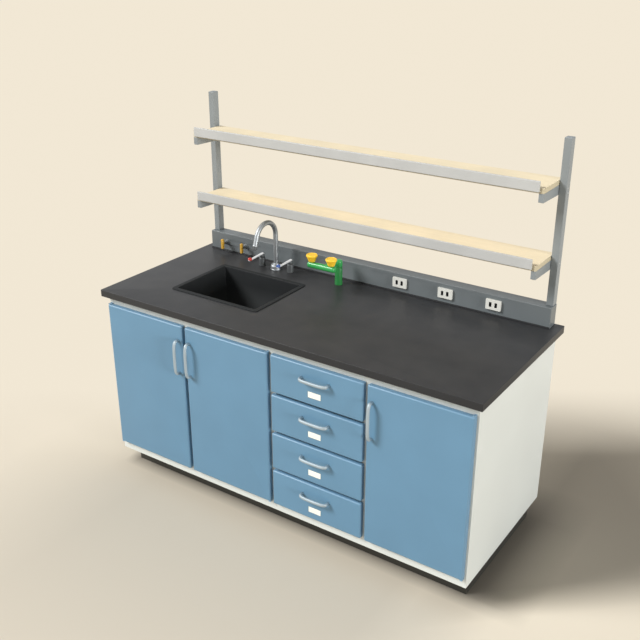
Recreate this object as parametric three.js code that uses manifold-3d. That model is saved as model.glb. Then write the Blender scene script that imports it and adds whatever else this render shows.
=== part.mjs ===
// Laboratory bench with a sink, a service rail and a two-tier reagent shelf.
// Millimetres, +Z up. The origin is on the floor under the middle of the bench,
// +X runs along the bench to the user's right and -Y faces the user.

import * as THREE from 'three';
import { mergeVertices } from 'three/addons/utils/BufferGeometryUtils.js';
import Module from 'manifold-3d';

const wasm = await Module();
wasm.setup();

// Bench
const BENCH_LENGTH = 1800;
const BENCH_DEPTH = 760;
const BENCH_HEIGHT = 900;
const WORKTOP_THICKNESS = 30;
const SEAT_GAP = 0.3;
const CUT_OVERRUN = 1;

// Cabinet
const SIDE_OVERHANG = 20;
const FRONT_OVERHANG = 30;
const BACK_OVERHANG = 30;
const PLINTH_HEIGHT = 100;
const PLINTH_BOARD = 18;
const PLINTH_LEFT_INSET = 15;
const PLINTH_RIGHT_INSET = 30;
const PLINTH_FRONT_INSET = 80;
const PLINTH_BACK_INSET = 20;
const PANEL_THICKNESS = 18;
const BACK_PANEL_THICKNESS = 12;
const FRAME_THICKNESS = 18;
const STILE_WIDTH = 40;
const COLUMNS = 4;
const DRAWER_COLUMN = 2;

// Door and drawer fronts
const FRONT_THICKNESS = 20;
const FRONT_STANDOFF = 2;
const FRONT_GAP = 16;
const DRAWER_GAP = 12;
const FRONT_TOP_REVEAL = 35;
const FRONT_BOTTOM_REVEAL = 45;
const FRONT_OVERLAP = 15;

// Door pivots: a rod through the door near its hinge edge, held by an ear at each end
const PIVOT_RADIUS = 2.5;
const PIVOT_CLEARANCE = 0.3;
const PIVOT_EDGE_DISTANCE = 6;
const PIVOT_FACE_DISTANCE = 6;
const PIVOT_EAR_THICKNESS = 2.5;
const PIVOT_EAR_WIDTH = 10;
const PIVOT_EAR_NOSE = 3.5;
const PIVOT_EAR_GAP = 0.5;

// Bow pulls
const PULL_RADIUS = 6.5;
const PULL_PROJECTION = 33;
const PULL_SQUARENESS = 4;
const PULL_FOOT = 4;
const DOOR_PULL_LENGTH = 166;
const DRAWER_PULL_LENGTH = 138;
const DOOR_PULL_EDGE = 22;
const DOOR_PULL_DROP = 142;
const DRAWER_PULL_DROP = 55;

// Drawers and their runners
const DRAWERS = 4;
const DRAWER_BOX_DEPTH = 520;
const DRAWER_BOX_HEIGHT = 110;
const DRAWER_BOX_LIFT = 20;
const DRAWER_SIDE_CLEARANCE = 15;
const DRAWER_WALL = 12;
const DRAWER_BOTTOM = 10;
const RUNNER_LENGTH = 500;
const RUNNER_PLATE = 4;
const RUNNER_LEDGE = 10;
const RUNNER_OVERLAP = 10;

// Sink
const SINK_X = -422;
const SINK_Y = -19;
const SINK_LENGTH = 424;
const SINK_WIDTH = 320;
const SINK_DEPTH = 200;
const SINK_WALL = 6;
const SINK_CORNER = 14;
const SINK_RIM_WIDTH = 21;
const SINK_RIM_HEIGHT = 3;
const SINK_CUTOUT_CLEARANCE = 1.5;

// Sink waste and bottle trap
const STRAINER_RADIUS = 40;
const STRAINER_THICKNESS = 3;
const TAILPIPE_RADIUS = 22;
const TAILPIPE_LENGTH = 96;
const TAILPIPE_CLEARANCE = 0.5;
const TRAP_RADIUS = 45;
const TRAP_HEIGHT = 112;
const TRAP_ROUND = 6;
const OUTLET_RADIUS = 18;
const OUTLET_DROP = 30;

// Service rail
const RAIL_LENGTH = 1720;
const RAIL_DEPTH = 58;
const RAIL_HEIGHT = 87;
const RAIL_WALL = 3;
const RAIL_BACK_INSET = 4;

// Socket plates on the rail
const SOCKETS = 3;
const SOCKET_FIRST_X = 190;
const SOCKET_SPACING = 216;
const SOCKET_WIDTH = 65;
const SOCKET_HEIGHT = 43;
const SOCKET_THICKNESS = 9;
const SOCKET_RISE = 47;
const SLOT_WIDTH = 11;
const SLOT_HEIGHT = 20;
const SLOT_DEPTH = 6;
const SLOT_SPACING = 24;

// Gas taps on the rail
const GAS_FIRST_X = -762;
const GAS_SPACING = 116;
const GAS_RISE = 45;
const GAS_BOSS_RADIUS = 12;
const GAS_BOSS_LENGTH = 8;
const GAS_SPINDLE_RADIUS = 6;
const GAS_SPINDLE_LENGTH = 24;
const GAS_LEVER_LENGTH = 50;
const GAS_LEVER_WIDTH = 14;
const GAS_LEVER_THICKNESS = 11;

// Reagent shelf
const UPRIGHT_WIDTH = 30;
const UPRIGHT_DEPTH = 35;
const UPRIGHT_HEIGHT = 658;
const UPRIGHT_WALL = 2.5;
const UPRIGHT_END_INSET = 2;
const LOWER_SHELF_RISE = 272;
const UPPER_SHELF_RISE = 568;
const SHELF_END_GAP = 1;
const LIP_LEFT_INSET = 9;
const LIP_RIGHT_INSET = 16;
const SHELF_THICKNESS = 20;
const SHELF_DEPTH = 184;
const LIP_THICKNESS = 8;
const LIP_HEIGHT = 41;
const LIP_LIFT = 5;
const BRACKET_WIDTH = 20;
const BRACKET_FRONT_HEIGHT = 34;
const BRACKET_BACK_HEIGHT = 40;

// Sink tap
const TAP_SETBACK = 111;
const TAP_DRUM_RADIUS = 25;
const TAP_DRUM_HEIGHT = 24;
const TAP_DRUM_EDGE = 5;
const TAP_COLLAR_RADIUS = 16;
const TAP_COLLAR_HEIGHT = 30;
const TAP_SOCKET_DEPTH = 12;
const TAP_SOCKET_CLEARANCE = 0.4;
const SPOUT_RADIUS = 11;
const SPOUT_RISE = 167;
const SPOUT_BEND_RADIUS = 70;
const SPOUT_SWEEP_DEGREES = 160;
const SPOUT_DROP = 60;
const VALVE_SPACING = 80;
const VALVE_RADIUS = 15;
const VALVE_HEIGHT = 40;
const LEVER_HUB_RADIUS = 11;
const LEVER_HUB_HEIGHT = 12;
const LEVER_REACH = 100;
const LEVER_WIDTH = 13;
const LEVER_THICKNESS = 7;

// Eyewash
const EYEWASH_X = -81;
const EYEWASH_SETBACK = 66;
const POST_RADIUS = 16.5;
const POST_HEIGHT = 84;
const HUB_HEIGHT = 30;
const ARM_RADIUS = 9;
const ARM_REACH = 134;
const ARM_RISE = 23;
const CROSSBAR_LENGTH = 140;
const CROSSBAR_RADIUS = 13.5;
const CUP_SPACING = 98;
const CUP_SEAT_RADIUS = 10;
const CUP_SEAT_HEIGHT = 1.5;
const CUP_BASE_RADIUS = 15;
const CUP_TOP_RADIUS = 24.5;
const CUP_HEIGHT = 31;
const CUP_RIM = 3;
const CUP_RECESS = 3;

// Facets of the round pieces
const ROUND_SIDES = 20;
const BAR_SIDES = 8;
const CORNER_STEPS = 3;
const PULL_STEPS = 14;
const SPOUT_STEPS = 24;
const BEND_POINTS = 9;

// Places worked out from the sizes above
const cabinetLength = BENCH_LENGTH - 2 * SIDE_OVERHANG;
const cabinetFront = FRONT_OVERHANG - BENCH_DEPTH / 2;
const cabinetBack = BENCH_DEPTH / 2 - BACK_OVERHANG;
const cabinetTop = BENCH_HEIGHT - WORKTOP_THICKNESS;
const columnWidth = cabinetLength / COLUMNS;
const frameBack = cabinetFront + FRAME_THICKNESS;
const backPanelFront = cabinetBack - BACK_PANEL_THICKNESS;
const frontBack = cabinetFront - FRONT_STANDOFF;
const frontFace = frontBack - FRONT_THICKNESS;
const frontWidth = columnWidth - FRONT_GAP;
const frontBottom = PLINTH_HEIGHT + FRONT_BOTTOM_REVEAL;
const frontTop = cabinetTop - FRONT_TOP_REVEAL;
const doorHeight = frontTop - frontBottom;
const drawerHeight = (doorHeight - (DRAWERS - 1) * DRAWER_GAP) / DRAWERS;
const drawerPitch = drawerHeight + DRAWER_GAP;
const drawerBoxWidth = columnWidth - STILE_WIDTH - 2 * DRAWER_SIDE_CLEARANCE;
const railBack = BENCH_DEPTH / 2 - RAIL_BACK_INSET;
const railFront = railBack - RAIL_DEPTH;
const railTop = BENCH_HEIGHT + RAIL_HEIGHT;
const uprightX = RAIL_LENGTH / 2 - UPRIGHT_END_INSET - UPRIGHT_WIDTH / 2;
const uprightInner = uprightX - UPRIGHT_WIDTH / 2;
const shelfLength = 2 * (uprightInner - SHELF_END_GAP);
const shelfFront = railBack - SHELF_DEPTH;
const sinkBack = SINK_Y + SINK_WIDTH / 2;

// Middle of a column of fronts, counted from the left
function columnX(column) {
  return (column + 0.5) * columnWidth - cabinetLength / 2;
}

// Finishes
const FINISHES = {
  whiteBoard: { color: 0xe2e3da, roughness: 0.5, metalness: 0 },
  blackPlinth: { color: 0x2a2926, roughness: 0.6, metalness: 0 },
  blueFront: { color: 0x6f97b2, roughness: 0.4, metalness: 0 },
  epoxy: { color: 0x3f3f3e, roughness: 0.45, metalness: 0 },
  sinkEpoxy: { color: 0x2b2d2d, roughness: 0.5, metalness: 0 },
  greyMetal: { color: 0x868b8b, roughness: 0.45, metalness: 0.3 },
  railGrey: { color: 0x6b7172, roughness: 0.4, metalness: 0.2 },
  shelfLaminate: { color: 0xf3e6c8, roughness: 0.5, metalness: 0 },
  lipGrey: { color: 0xc8c8c4, roughness: 0.45, metalness: 0 },
  nickel: { color: 0xc9c8c2, roughness: 0.35, metalness: 0.9 },
  chrome: { color: 0xd5d6d7, roughness: 0.15, metalness: 1 },
  steel: { color: 0xb4b6b6, roughness: 0.4, metalness: 0.9 },
  greenCoat: { color: 0x2f8a41, roughness: 0.35, metalness: 0 },
  yellowPlastic: { color: 0xe9b52c, roughness: 0.4, metalness: 0 },
  gasYellow: { color: 0xd9a52e, roughness: 0.4, metalness: 0.1 },
  whitePlastic: { color: 0xeeeee8, roughness: 0.4, metalness: 0 },
  drawerBoard: { color: 0xe6e2d6, roughness: 0.6, metalness: 0 },
  wastePlastic: { color: 0x4a4c4c, roughness: 0.5, metalness: 0 },
};

// A named piece with a material of its own
function piece(name, geometry, finish, x = 0, y = 0, z = 0) {
  const mesh = new THREE.Mesh(geometry, new THREE.MeshStandardMaterial(FINISHES[finish]));
  mesh.name = name;
  mesh.position.set(x, y, z);
  return mesh;
}

function group(...members) {
  const gathered = new THREE.Group();
  gathered.add(...members);
  return gathered;
}

// Closed solid of a geometry, for joining and cutting
function solidOf(geometry) {
  const bare = geometry.clone();
  bare.deleteAttribute('normal');
  bare.deleteAttribute('uv');
  const merged = mergeVertices(bare, 1e-4);
  const mesh = new wasm.Mesh({
    numProp: 3,
    vertProperties: new Float32Array(merged.attributes.position.array),
    triVerts: new Uint32Array(merged.index.array),
  });
  mesh.merge();
  return new wasm.Manifold(mesh);
}

function geometryOf(solid) {
  const mesh = solid.getMesh();
  const geometry = new THREE.BufferGeometry();
  geometry.setAttribute('position', new THREE.BufferAttribute(new Float32Array(mesh.vertProperties), 3));
  geometry.setIndex(new THREE.BufferAttribute(new Uint32Array(mesh.triVerts), 1));
  return geometry;
}

function joined(first, ...others) {
  const whole = others.reduce((sum, other) => sum.add(solidOf(other)), solidOf(first));
  return geometryOf(whole);
}

function cut(body, ...tools) {
  const rest = tools.reduce((left, tool) => left.subtract(solidOf(tool)), solidOf(body));
  return geometryOf(rest);
}

// Box between two corners
function block(low, high) {
  const size = high.map((value, axis) => value - low[axis]);
  const middle = high.map((value, axis) => (value + low[axis]) / 2);
  return new THREE.BoxGeometry(...size).translate(...middle);
}

// Upright round bar, standing on z = bottom
function roundBar(radius, bottom, height, sides = ROUND_SIDES) {
  const bar = new THREE.CylinderGeometry(radius, radius, height, sides);
  return bar.rotateX(Math.PI / 2).translate(0, 0, bottom + height / 2);
}

// Turned piece about +Z from [radius, height] pairs
function turned(profile) {
  const points = profile.map(([radius, height]) => new THREE.Vector2(radius, height));
  return new THREE.LatheGeometry(points, ROUND_SIDES).rotateX(Math.PI / 2);
}

function roundedRectangle(length, width, radius) {
  const right = length / 2;
  const back = width / 2;
  const outline = new THREE.Shape();
  outline.absarc(right - radius, back - radius, radius, 0, Math.PI / 2, false);
  outline.absarc(radius - right, back - radius, radius, Math.PI / 2, Math.PI, false);
  outline.absarc(radius - right, radius - back, radius, Math.PI, Math.PI * 1.5, false);
  outline.absarc(right - radius, radius - back, radius, Math.PI * 1.5, Math.PI * 2, false);
  outline.closePath();
  return outline;
}

// Flat outline in plan, raised from z = 0
function raised(outline, height) {
  return new THREE.ExtrudeGeometry(outline, {
    depth: height,
    bevelEnabled: false,
    curveSegments: CORNER_STEPS,
  });
}

// Outline seen from the front, from y = 0 back to y = depth
function frontOutline(outline, depth) {
  return raised(outline, depth).rotateX(Math.PI / 2).translate(0, depth, 0);
}

// Outline seen from the side as (y, z), from x = 0 to x = width
function sideOutline(outline, width) {
  return raised(outline, width).rotateX(Math.PI / 2).rotateZ(Math.PI / 2);
}

// Round bar swept along points
function sweptBar(points, radius, sides, steps) {
  const section = new THREE.Shape();
  for (let side = 0; side < sides; side += 1) {
    const angle = (side + 0.5) * 2 * Math.PI / sides;
    const place = [radius * Math.cos(angle), radius * Math.sin(angle)];
    if (side === 0) section.moveTo(...place);
    else section.lineTo(...place);
  }
  section.closePath();
  const path = new THREE.CatmullRomCurve3(points);
  return new THREE.ExtrudeGeometry(section, { steps, extrudePath: path, bevelEnabled: false });
}

// Plinth ring with a bearer across its middle
function plinth() {
  const left = PLINTH_LEFT_INSET - cabinetLength / 2;
  const right = cabinetLength / 2 - PLINTH_RIGHT_INSET;
  const front = cabinetFront + PLINTH_FRONT_INSET;
  const back = cabinetBack - PLINTH_BACK_INSET;
  const bearer = PLINTH_BOARD / 2;
  const bays = [[left + PLINTH_BOARD, -bearer], [bearer, right - PLINTH_BOARD]].map(([low, high]) => block(
    [low, front + PLINTH_BOARD, -CUT_OVERRUN],
    [high, back - PLINTH_BOARD, PLINTH_HEIGHT + CUT_OVERRUN],
  ));
  const whole = block([left, front, 0], [right, back, PLINTH_HEIGHT]);
  return piece('plinth_frame', cut(whole, ...bays), 'blackPlinth');
}

// Face frame with an opening behind each column of fronts, which lap over it all round
function faceFrame() {
  const right = cabinetLength / 2;
  const half = (columnWidth - STILE_WIDTH) / 2;
  const whole = block([-right, cabinetFront, PLINTH_HEIGHT], [right, frameBack, cabinetTop]);
  const openings = [];
  for (let column = 0; column < COLUMNS; column += 1) {
    const middle = columnX(column);
    openings.push(block(
      [middle - half, cabinetFront - CUT_OVERRUN, frontBottom + FRONT_OVERLAP],
      [middle + half, frameBack + CUT_OVERRUN, frontTop - FRONT_OVERLAP],
    ));
  }
  return piece('face_frame', cut(whole, ...openings), 'whiteBoard');
}

function carcass() {
  const side = cabinetLength / 2 - PANEL_THICKNESS;
  const floorTop = PLINTH_HEIGHT + PANEL_THICKNESS;
  const panel = block([0, frameBack, PLINTH_HEIGHT], [PANEL_THICKNESS, cabinetBack, cabinetTop]);
  const partition = block([0, frameBack, floorTop], [PANEL_THICKNESS, backPanelFront, cabinetTop]);
  const floor = block([-side, frameBack, PLINTH_HEIGHT], [side, backPanelFront, floorTop]);
  const back = block([-side, backPanelFront, PLINTH_HEIGHT], [side, cabinetBack, cabinetTop]);
  const beside = (column) => columnX(column) - (columnWidth + PANEL_THICKNESS) / 2;
  return group(
    plinth(),
    faceFrame(),
    piece('left_side_panel', panel, 'whiteBoard', -cabinetLength / 2),
    piece('right_side_panel', panel.clone(), 'whiteBoard', side),
    piece('left_partition', partition, 'whiteBoard', beside(2)),
    piece('right_partition', partition.clone(), 'whiteBoard', beside(3)),
    piece('cabinet_floor', floor, 'whiteBoard'),
    piece('back_panel', back, 'whiteBoard'),
  );
}

// Bow pull along +Z with its feet on the plane y = 0 and its bow towards -Y
function bowPull(length) {
  const half = length / 2 - PULL_RADIUS;
  const reach = PULL_PROJECTION - PULL_RADIUS - PULL_FOOT;
  const points = [];
  for (let step = 0; step <= PULL_STEPS; step += 1) {
    const angle = Math.PI * step / PULL_STEPS;
    const along = Math.sign(Math.cos(angle)) * Math.abs(Math.cos(angle)) ** (2 / PULL_SQUARENESS);
    const out = Math.abs(Math.sin(angle)) ** (2 / PULL_SQUARENESS);
    points.push(new THREE.Vector3(0, -PULL_FOOT - reach * out, -half * along));
  }
  points.unshift(new THREE.Vector3(0, -SEAT_GAP, -half));
  points.push(new THREE.Vector3(0, -SEAT_GAP, half));
  return sweptBar(points, PULL_RADIUS, BAR_SIDES, PULL_STEPS);
}

// Door about its pivot rod. Side is -1 where the rod is at the left edge and +1 at the right.
function door(name, column, side) {
  const backDistance = FRONT_THICKNESS - PIVOT_FACE_DISTANCE;
  const hingeEdge = side * PIVOT_EDGE_DISTANCE;
  const freeEdge = side * (PIVOT_EDGE_DISTANCE - frontWidth);
  const leaf = block(
    [Math.min(hingeEdge, freeEdge), -PIVOT_FACE_DISTANCE, frontBottom],
    [Math.max(hingeEdge, freeEdge), backDistance, frontTop],
  );
  const bore = roundBar(
    PIVOT_RADIUS + PIVOT_CLEARANCE,
    frontBottom - CUT_OVERRUN,
    doorHeight + 2 * CUT_OVERRUN,
    BAR_SIDES,
  );
  const earFeet = [frontBottom - PIVOT_EAR_GAP - PIVOT_EAR_THICKNESS, frontTop + PIVOT_EAR_GAP];
  const ears = earFeet.map((low) => block(
    [-PIVOT_EAR_WIDTH / 2, -PIVOT_EAR_NOSE, low],
    [PIVOT_EAR_WIDTH / 2, backDistance + FRONT_STANDOFF - SEAT_GAP, low + PIVOT_EAR_THICKNESS],
  ));
  const rodFoot = frontBottom - PIVOT_EAR_GAP - PIVOT_EAR_THICKNESS / 2;
  const rodLength = doorHeight + 2 * PIVOT_EAR_GAP + PIVOT_EAR_THICKNESS;
  const rod = roundBar(PIVOT_RADIUS, rodFoot, rodLength, BAR_SIDES);
  const pullX = freeEdge + side * DOOR_PULL_EDGE;
  const pull = piece(`${name}_pull`, bowPull(DOOR_PULL_LENGTH), 'nickel', pullX, -PIVOT_FACE_DISTANCE);
  pull.position.z = frontTop - DOOR_PULL_DROP;
  const whole = group(
    piece(name, cut(leaf, bore), 'blueFront'),
    piece(`${name}_pivot`, joined(rod, ...ears), 'steel'),
    pull,
  );
  const edgeX = columnX(column) + side * frontWidth / 2;
  whole.position.set(edgeX - hingeEdge, frontFace + PIVOT_FACE_DISTANCE, 0);
  return whole;
}

// Open-topped drawer box behind its front, with its front face on y = 0 and its underside on z = 0
function drawerBox() {
  const half = drawerBoxWidth / 2;
  const outside = block([-half, 0, 0], [half, DRAWER_BOX_DEPTH, DRAWER_BOX_HEIGHT]);
  const inside = block(
    [DRAWER_WALL - half, DRAWER_WALL, DRAWER_BOTTOM],
    [half - DRAWER_WALL, DRAWER_BOX_DEPTH - DRAWER_WALL, DRAWER_BOX_HEIGHT + CUT_OVERRUN],
  );
  return cut(outside, inside);
}

function drawer(index) {
  const half = frontWidth / 2;
  const front = block([-half, frontFace, 0], [half, frontBack, drawerHeight]);
  const pull = piece(`drawer_${index + 1}_pull`, bowPull(DRAWER_PULL_LENGTH), 'nickel', 0, frontFace);
  pull.position.z = drawerHeight - DRAWER_PULL_DROP;
  pull.rotation.y = Math.PI / 2;
  const whole = group(
    piece(`drawer_${index + 1}_front`, front, 'blueFront'),
    piece(`drawer_${index + 1}_box`, drawerBox(), 'drawerBoard', 0, frontBack + SEAT_GAP, DRAWER_BOX_LIFT),
    pull,
  );
  whole.position.set(columnX(DRAWER_COLUMN), 0, frontTop - drawerHeight - index * drawerPitch);
  return whole;
}

// Comb of ledges that carries one side of every drawer, as an outline seen from the front
function runner(name, side) {
  const wall = (columnWidth - PANEL_THICKNESS) / 2;
  const plate = wall - RUNNER_PLATE;
  const reach = drawerBoxWidth / 2 - RUNNER_OVERLAP;
  const outline = new THREE.Shape();
  outline.moveTo(side * wall, frontBottom);
  outline.lineTo(side * plate, frontBottom);
  for (let step = 0; step < DRAWERS; step += 1) {
    const ledgeTop = frontBottom + step * drawerPitch + DRAWER_BOX_LIFT - SEAT_GAP;
    outline.lineTo(side * plate, ledgeTop - RUNNER_LEDGE);
    outline.lineTo(side * reach, ledgeTop - RUNNER_LEDGE);
    outline.lineTo(side * reach, ledgeTop);
    outline.lineTo(side * plate, ledgeTop);
  }
  const top = frontBottom + (DRAWERS - 1) * drawerPitch + DRAWER_BOX_LIFT + DRAWER_BOX_HEIGHT / 2;
  outline.lineTo(side * plate, top);
  outline.lineTo(side * wall, top);
  outline.closePath();
  const comb = frontOutline(outline, RUNNER_LENGTH);
  return piece(name, comb, 'steel', columnX(DRAWER_COLUMN), frameBack + SEAT_GAP);
}

// Slab with the sink cut-out
function worktop() {
  const right = BENCH_LENGTH / 2;
  const back = BENCH_DEPTH / 2;
  const margin = SINK_WALL + SINK_CUTOUT_CLEARANCE;
  const outline = roundedRectangle(SINK_LENGTH + 2 * margin, SINK_WIDTH + 2 * margin, SINK_CORNER + margin);
  const opening = raised(outline, WORKTOP_THICKNESS + 2 * CUT_OVERRUN)
    .translate(SINK_X, SINK_Y, -CUT_OVERRUN);
  const slab = block([-right, -back, 0], [right, back, WORKTOP_THICKNESS]);
  return piece('worktop', cut(slab, opening), 'epoxy', 0, 0, cabinetTop);
}

// Bowl hung from its rim, with z = 0 under the rim
function sinkBasin() {
  const rim = roundedRectangle(
    SINK_LENGTH + 2 * SINK_RIM_WIDTH,
    SINK_WIDTH + 2 * SINK_RIM_WIDTH,
    SINK_CORNER + SINK_RIM_WIDTH / 4,
  );
  const outer = roundedRectangle(
    SINK_LENGTH + 2 * SINK_WALL,
    SINK_WIDTH + 2 * SINK_WALL,
    SINK_CORNER + SINK_WALL,
  );
  const inner = roundedRectangle(SINK_LENGTH, SINK_WIDTH, SINK_CORNER);
  const depth = SINK_DEPTH + SINK_WALL;
  const bowl = joined(
    raised(rim, SINK_RIM_HEIGHT),
    raised(outer, depth + SINK_RIM_HEIGHT / 2).translate(0, 0, -depth),
  );
  const space = raised(inner, SINK_DEPTH + 2 * SINK_RIM_HEIGHT).translate(0, 0, -SINK_DEPTH);
  const outlet = roundBar(TAILPIPE_RADIUS + TAILPIPE_CLEARANCE, -2 * depth, 2 * depth);
  return piece('sink_basin', cut(bowl, space, outlet), 'sinkEpoxy');
}

// Strainer, tailpipe and bottle trap with its outlet to the back panel, with z = 0 on the bowl's floor
function sinkWaste() {
  const neck = -TAILPIPE_LENGTH;
  const foot = neck - TRAP_HEIGHT;
  const column = turned([
    [0, foot],
    [TRAP_RADIUS - TRAP_ROUND, foot],
    [TRAP_RADIUS, foot + TRAP_ROUND],
    [TRAP_RADIUS, neck - TRAP_ROUND],
    [TRAP_RADIUS - TRAP_ROUND, neck],
    [TAILPIPE_RADIUS, neck],
    [TAILPIPE_RADIUS, SEAT_GAP],
    [STRAINER_RADIUS, SEAT_GAP],
    [STRAINER_RADIUS, SEAT_GAP + STRAINER_THICKNESS],
    [0, SEAT_GAP + STRAINER_THICKNESS],
  ]);
  const run = backPanelFront - SINK_Y - SEAT_GAP;
  const outlet = roundBar(OUTLET_RADIUS, 0, run).rotateX(-Math.PI / 2).translate(0, 0, neck - OUTLET_DROP);
  return piece('sink_waste', joined(column, outlet), 'wastePlastic', 0, 0, -SINK_DEPTH);
}

function sink() {
  const whole = group(sinkBasin(), sinkWaste());
  whole.position.set(SINK_X, SINK_Y, BENCH_HEIGHT + SEAT_GAP);
  return whole;
}

function gasX(index) {
  return GAS_FIRST_X + index * GAS_SPACING;
}

// Hollow rail, open underneath, with a boss for each gas tap
function serviceRail() {
  const half = RAIL_LENGTH / 2;
  const casing = block([-half, railFront, 0], [half, railBack, RAIL_HEIGHT]);
  const bosses = [0, 1].map((index) => roundBar(GAS_BOSS_RADIUS, 0, GAS_BOSS_LENGTH + RAIL_WALL / 2)
    .rotateX(Math.PI / 2)
    .translate(gasX(index), railFront + RAIL_WALL / 2, GAS_RISE));
  const space = block(
    [RAIL_WALL - half, railFront + RAIL_WALL, -CUT_OVERRUN],
    [half - RAIL_WALL, railBack - RAIL_WALL, RAIL_HEIGHT - RAIL_WALL],
  );
  const casingWithBosses = cut(joined(casing, ...bosses), space);
  return piece('service_rail', casingWithBosses, 'railGrey', 0, 0, BENCH_HEIGHT + SEAT_GAP);
}

// Bar lever on its spindle, about the spindle's axis and out from the boss
function gasLever(name, index) {
  const spindle = roundBar(GAS_SPINDLE_RADIUS, 0, GAS_SPINDLE_LENGTH + GAS_LEVER_THICKNESS / 2, BAR_SIDES)
    .rotateX(Math.PI / 2);
  const lever = block(
    [-GAS_LEVER_WIDTH / 2, -GAS_SPINDLE_LENGTH - GAS_LEVER_THICKNESS, -GAS_LEVER_LENGTH / 2],
    [GAS_LEVER_WIDTH / 2, -GAS_SPINDLE_LENGTH, GAS_LEVER_LENGTH / 2],
  );
  const y = railFront - GAS_BOSS_LENGTH - SEAT_GAP;
  const z = BENCH_HEIGHT + SEAT_GAP + GAS_RISE;
  return piece(name, joined(lever, spindle), 'gasYellow', gasX(index), y, z);
}

// Socket plate with two slots
function socketPlate(index) {
  const plate = block(
    [-SOCKET_WIDTH / 2, 0, -SOCKET_HEIGHT / 2],
    [SOCKET_WIDTH / 2, SOCKET_THICKNESS, SOCKET_HEIGHT / 2],
  );
  const slots = [-1, 1].map((side) => block(
    [side * SLOT_SPACING / 2 - SLOT_WIDTH / 2, -CUT_OVERRUN, -SLOT_HEIGHT / 2],
    [side * SLOT_SPACING / 2 + SLOT_WIDTH / 2, SLOT_DEPTH, SLOT_HEIGHT / 2],
  ));
  const mesh = piece(`socket_plate_${index + 1}`, cut(plate, ...slots), 'whitePlastic');
  const x = SOCKET_FIRST_X + index * SOCKET_SPACING;
  mesh.position.set(x, railFront - SOCKET_THICKNESS - SEAT_GAP, BENCH_HEIGHT + SEAT_GAP + SOCKET_RISE);
  return mesh;
}

// Square tube with a closed top, standing on the rail
function upright(name, side) {
  const half = UPRIGHT_WIDTH / 2;
  const tube = block([-half, -UPRIGHT_DEPTH, 0], [half, 0, UPRIGHT_HEIGHT]);
  const space = block(
    [UPRIGHT_WALL - half, UPRIGHT_WALL - UPRIGHT_DEPTH, -CUT_OVERRUN],
    [half - UPRIGHT_WALL, -UPRIGHT_WALL, UPRIGHT_HEIGHT - UPRIGHT_WALL],
  );
  return piece(name, cut(tube, space), 'greyMetal', side * uprightX, railBack, railTop + 2 * SEAT_GAP);
}

// Cantilever bracket on the inner face of an upright, its top on z = 0
function bracket(name, side) {
  const outline = new THREE.Shape();
  outline.moveTo(shelfFront, 0);
  outline.lineTo(shelfFront, -BRACKET_FRONT_HEIGHT);
  outline.lineTo(railBack, -BRACKET_BACK_HEIGHT);
  outline.lineTo(railBack, 0);
  outline.closePath();
  const inner = side > 0 ? uprightInner - SEAT_GAP - BRACKET_WIDTH : SEAT_GAP - uprightInner;
  return piece(name, sideOutline(outline, BRACKET_WIDTH), 'greyMetal', inner);
}

function shelf(level, rise) {
  const half = shelfLength / 2;
  const board = block([-half, shelfFront, 0], [half, railBack, SHELF_THICKNESS]);
  const lip = block(
    [LIP_LEFT_INSET - half, shelfFront - LIP_THICKNESS, LIP_LIFT],
    [half - LIP_RIGHT_INSET, shelfFront, LIP_LIFT + LIP_HEIGHT],
  );
  const whole = group(
    piece(`${level}_shelf_board`, board, 'shelfLaminate'),
    piece(`${level}_shelf_lip`, lip, 'lipGrey'),
    bracket(`${level}_left_bracket`, -1),
    bracket(`${level}_right_bracket`, 1),
  );
  whole.position.z = BENCH_HEIGHT + rise;
  return whole;
}

// Drum and collar with a socket that the spout turns in
function tapBase() {
  const seat = TAP_COLLAR_HEIGHT - TAP_SOCKET_DEPTH;
  const bore = SPOUT_RADIUS + TAP_SOCKET_CLEARANCE;
  return piece('tap_base', turned([
    [0, 0],
    [TAP_DRUM_RADIUS, 0],
    [TAP_DRUM_RADIUS, TAP_DRUM_HEIGHT - TAP_DRUM_EDGE],
    [TAP_COLLAR_RADIUS, TAP_DRUM_HEIGHT],
    [TAP_COLLAR_RADIUS, TAP_COLLAR_HEIGHT],
    [bore, TAP_COLLAR_HEIGHT],
    [bore, seat],
    [0, seat],
  ]), 'chrome');
}

// Swan-neck spout: a riser, a bend over towards the bowl and a straight nozzle
function tapSpout() {
  const foot = TAP_COLLAR_HEIGHT - TAP_SOCKET_DEPTH + SEAT_GAP;
  const points = [0, 0.5].map((share) => new THREE.Vector3(0, 0, foot + share * (SPOUT_RISE - foot)));
  const sweep = THREE.MathUtils.degToRad(SPOUT_SWEEP_DEGREES);
  for (let step = 0; step <= BEND_POINTS; step += 1) {
    const angle = sweep * step / BEND_POINTS;
    const y = SPOUT_BEND_RADIUS * (Math.cos(angle) - 1);
    points.push(new THREE.Vector3(0, y, SPOUT_RISE + SPOUT_BEND_RADIUS * Math.sin(angle)));
  }
  const heading = new THREE.Vector3(0, -Math.sin(sweep), Math.cos(sweep));
  points.push(points.at(-1).clone().addScaledVector(heading, SPOUT_DROP));
  return piece('tap_spout', sweptBar(points, SPOUT_RADIUS, ROUND_SIDES / 2, SPOUT_STEPS), 'chrome');
}

function valve(name, side) {
  return piece(name, roundBar(VALVE_RADIUS, 0, VALVE_HEIGHT), 'chrome', side * VALVE_SPACING);
}

// Bar lever on a hub, pointing at the user
function valveLever(name, side) {
  const hub = roundBar(LEVER_HUB_RADIUS, 0, LEVER_HUB_HEIGHT);
  const bar = block(
    [-LEVER_WIDTH / 2, -LEVER_REACH, LEVER_HUB_HEIGHT - LEVER_THICKNESS / 2],
    [LEVER_WIDTH / 2, LEVER_HUB_RADIUS, LEVER_HUB_HEIGHT + LEVER_THICKNESS / 2],
  );
  return piece(name, joined(hub, bar), 'chrome', side * VALVE_SPACING, 0, VALVE_HEIGHT + SEAT_GAP);
}

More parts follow.
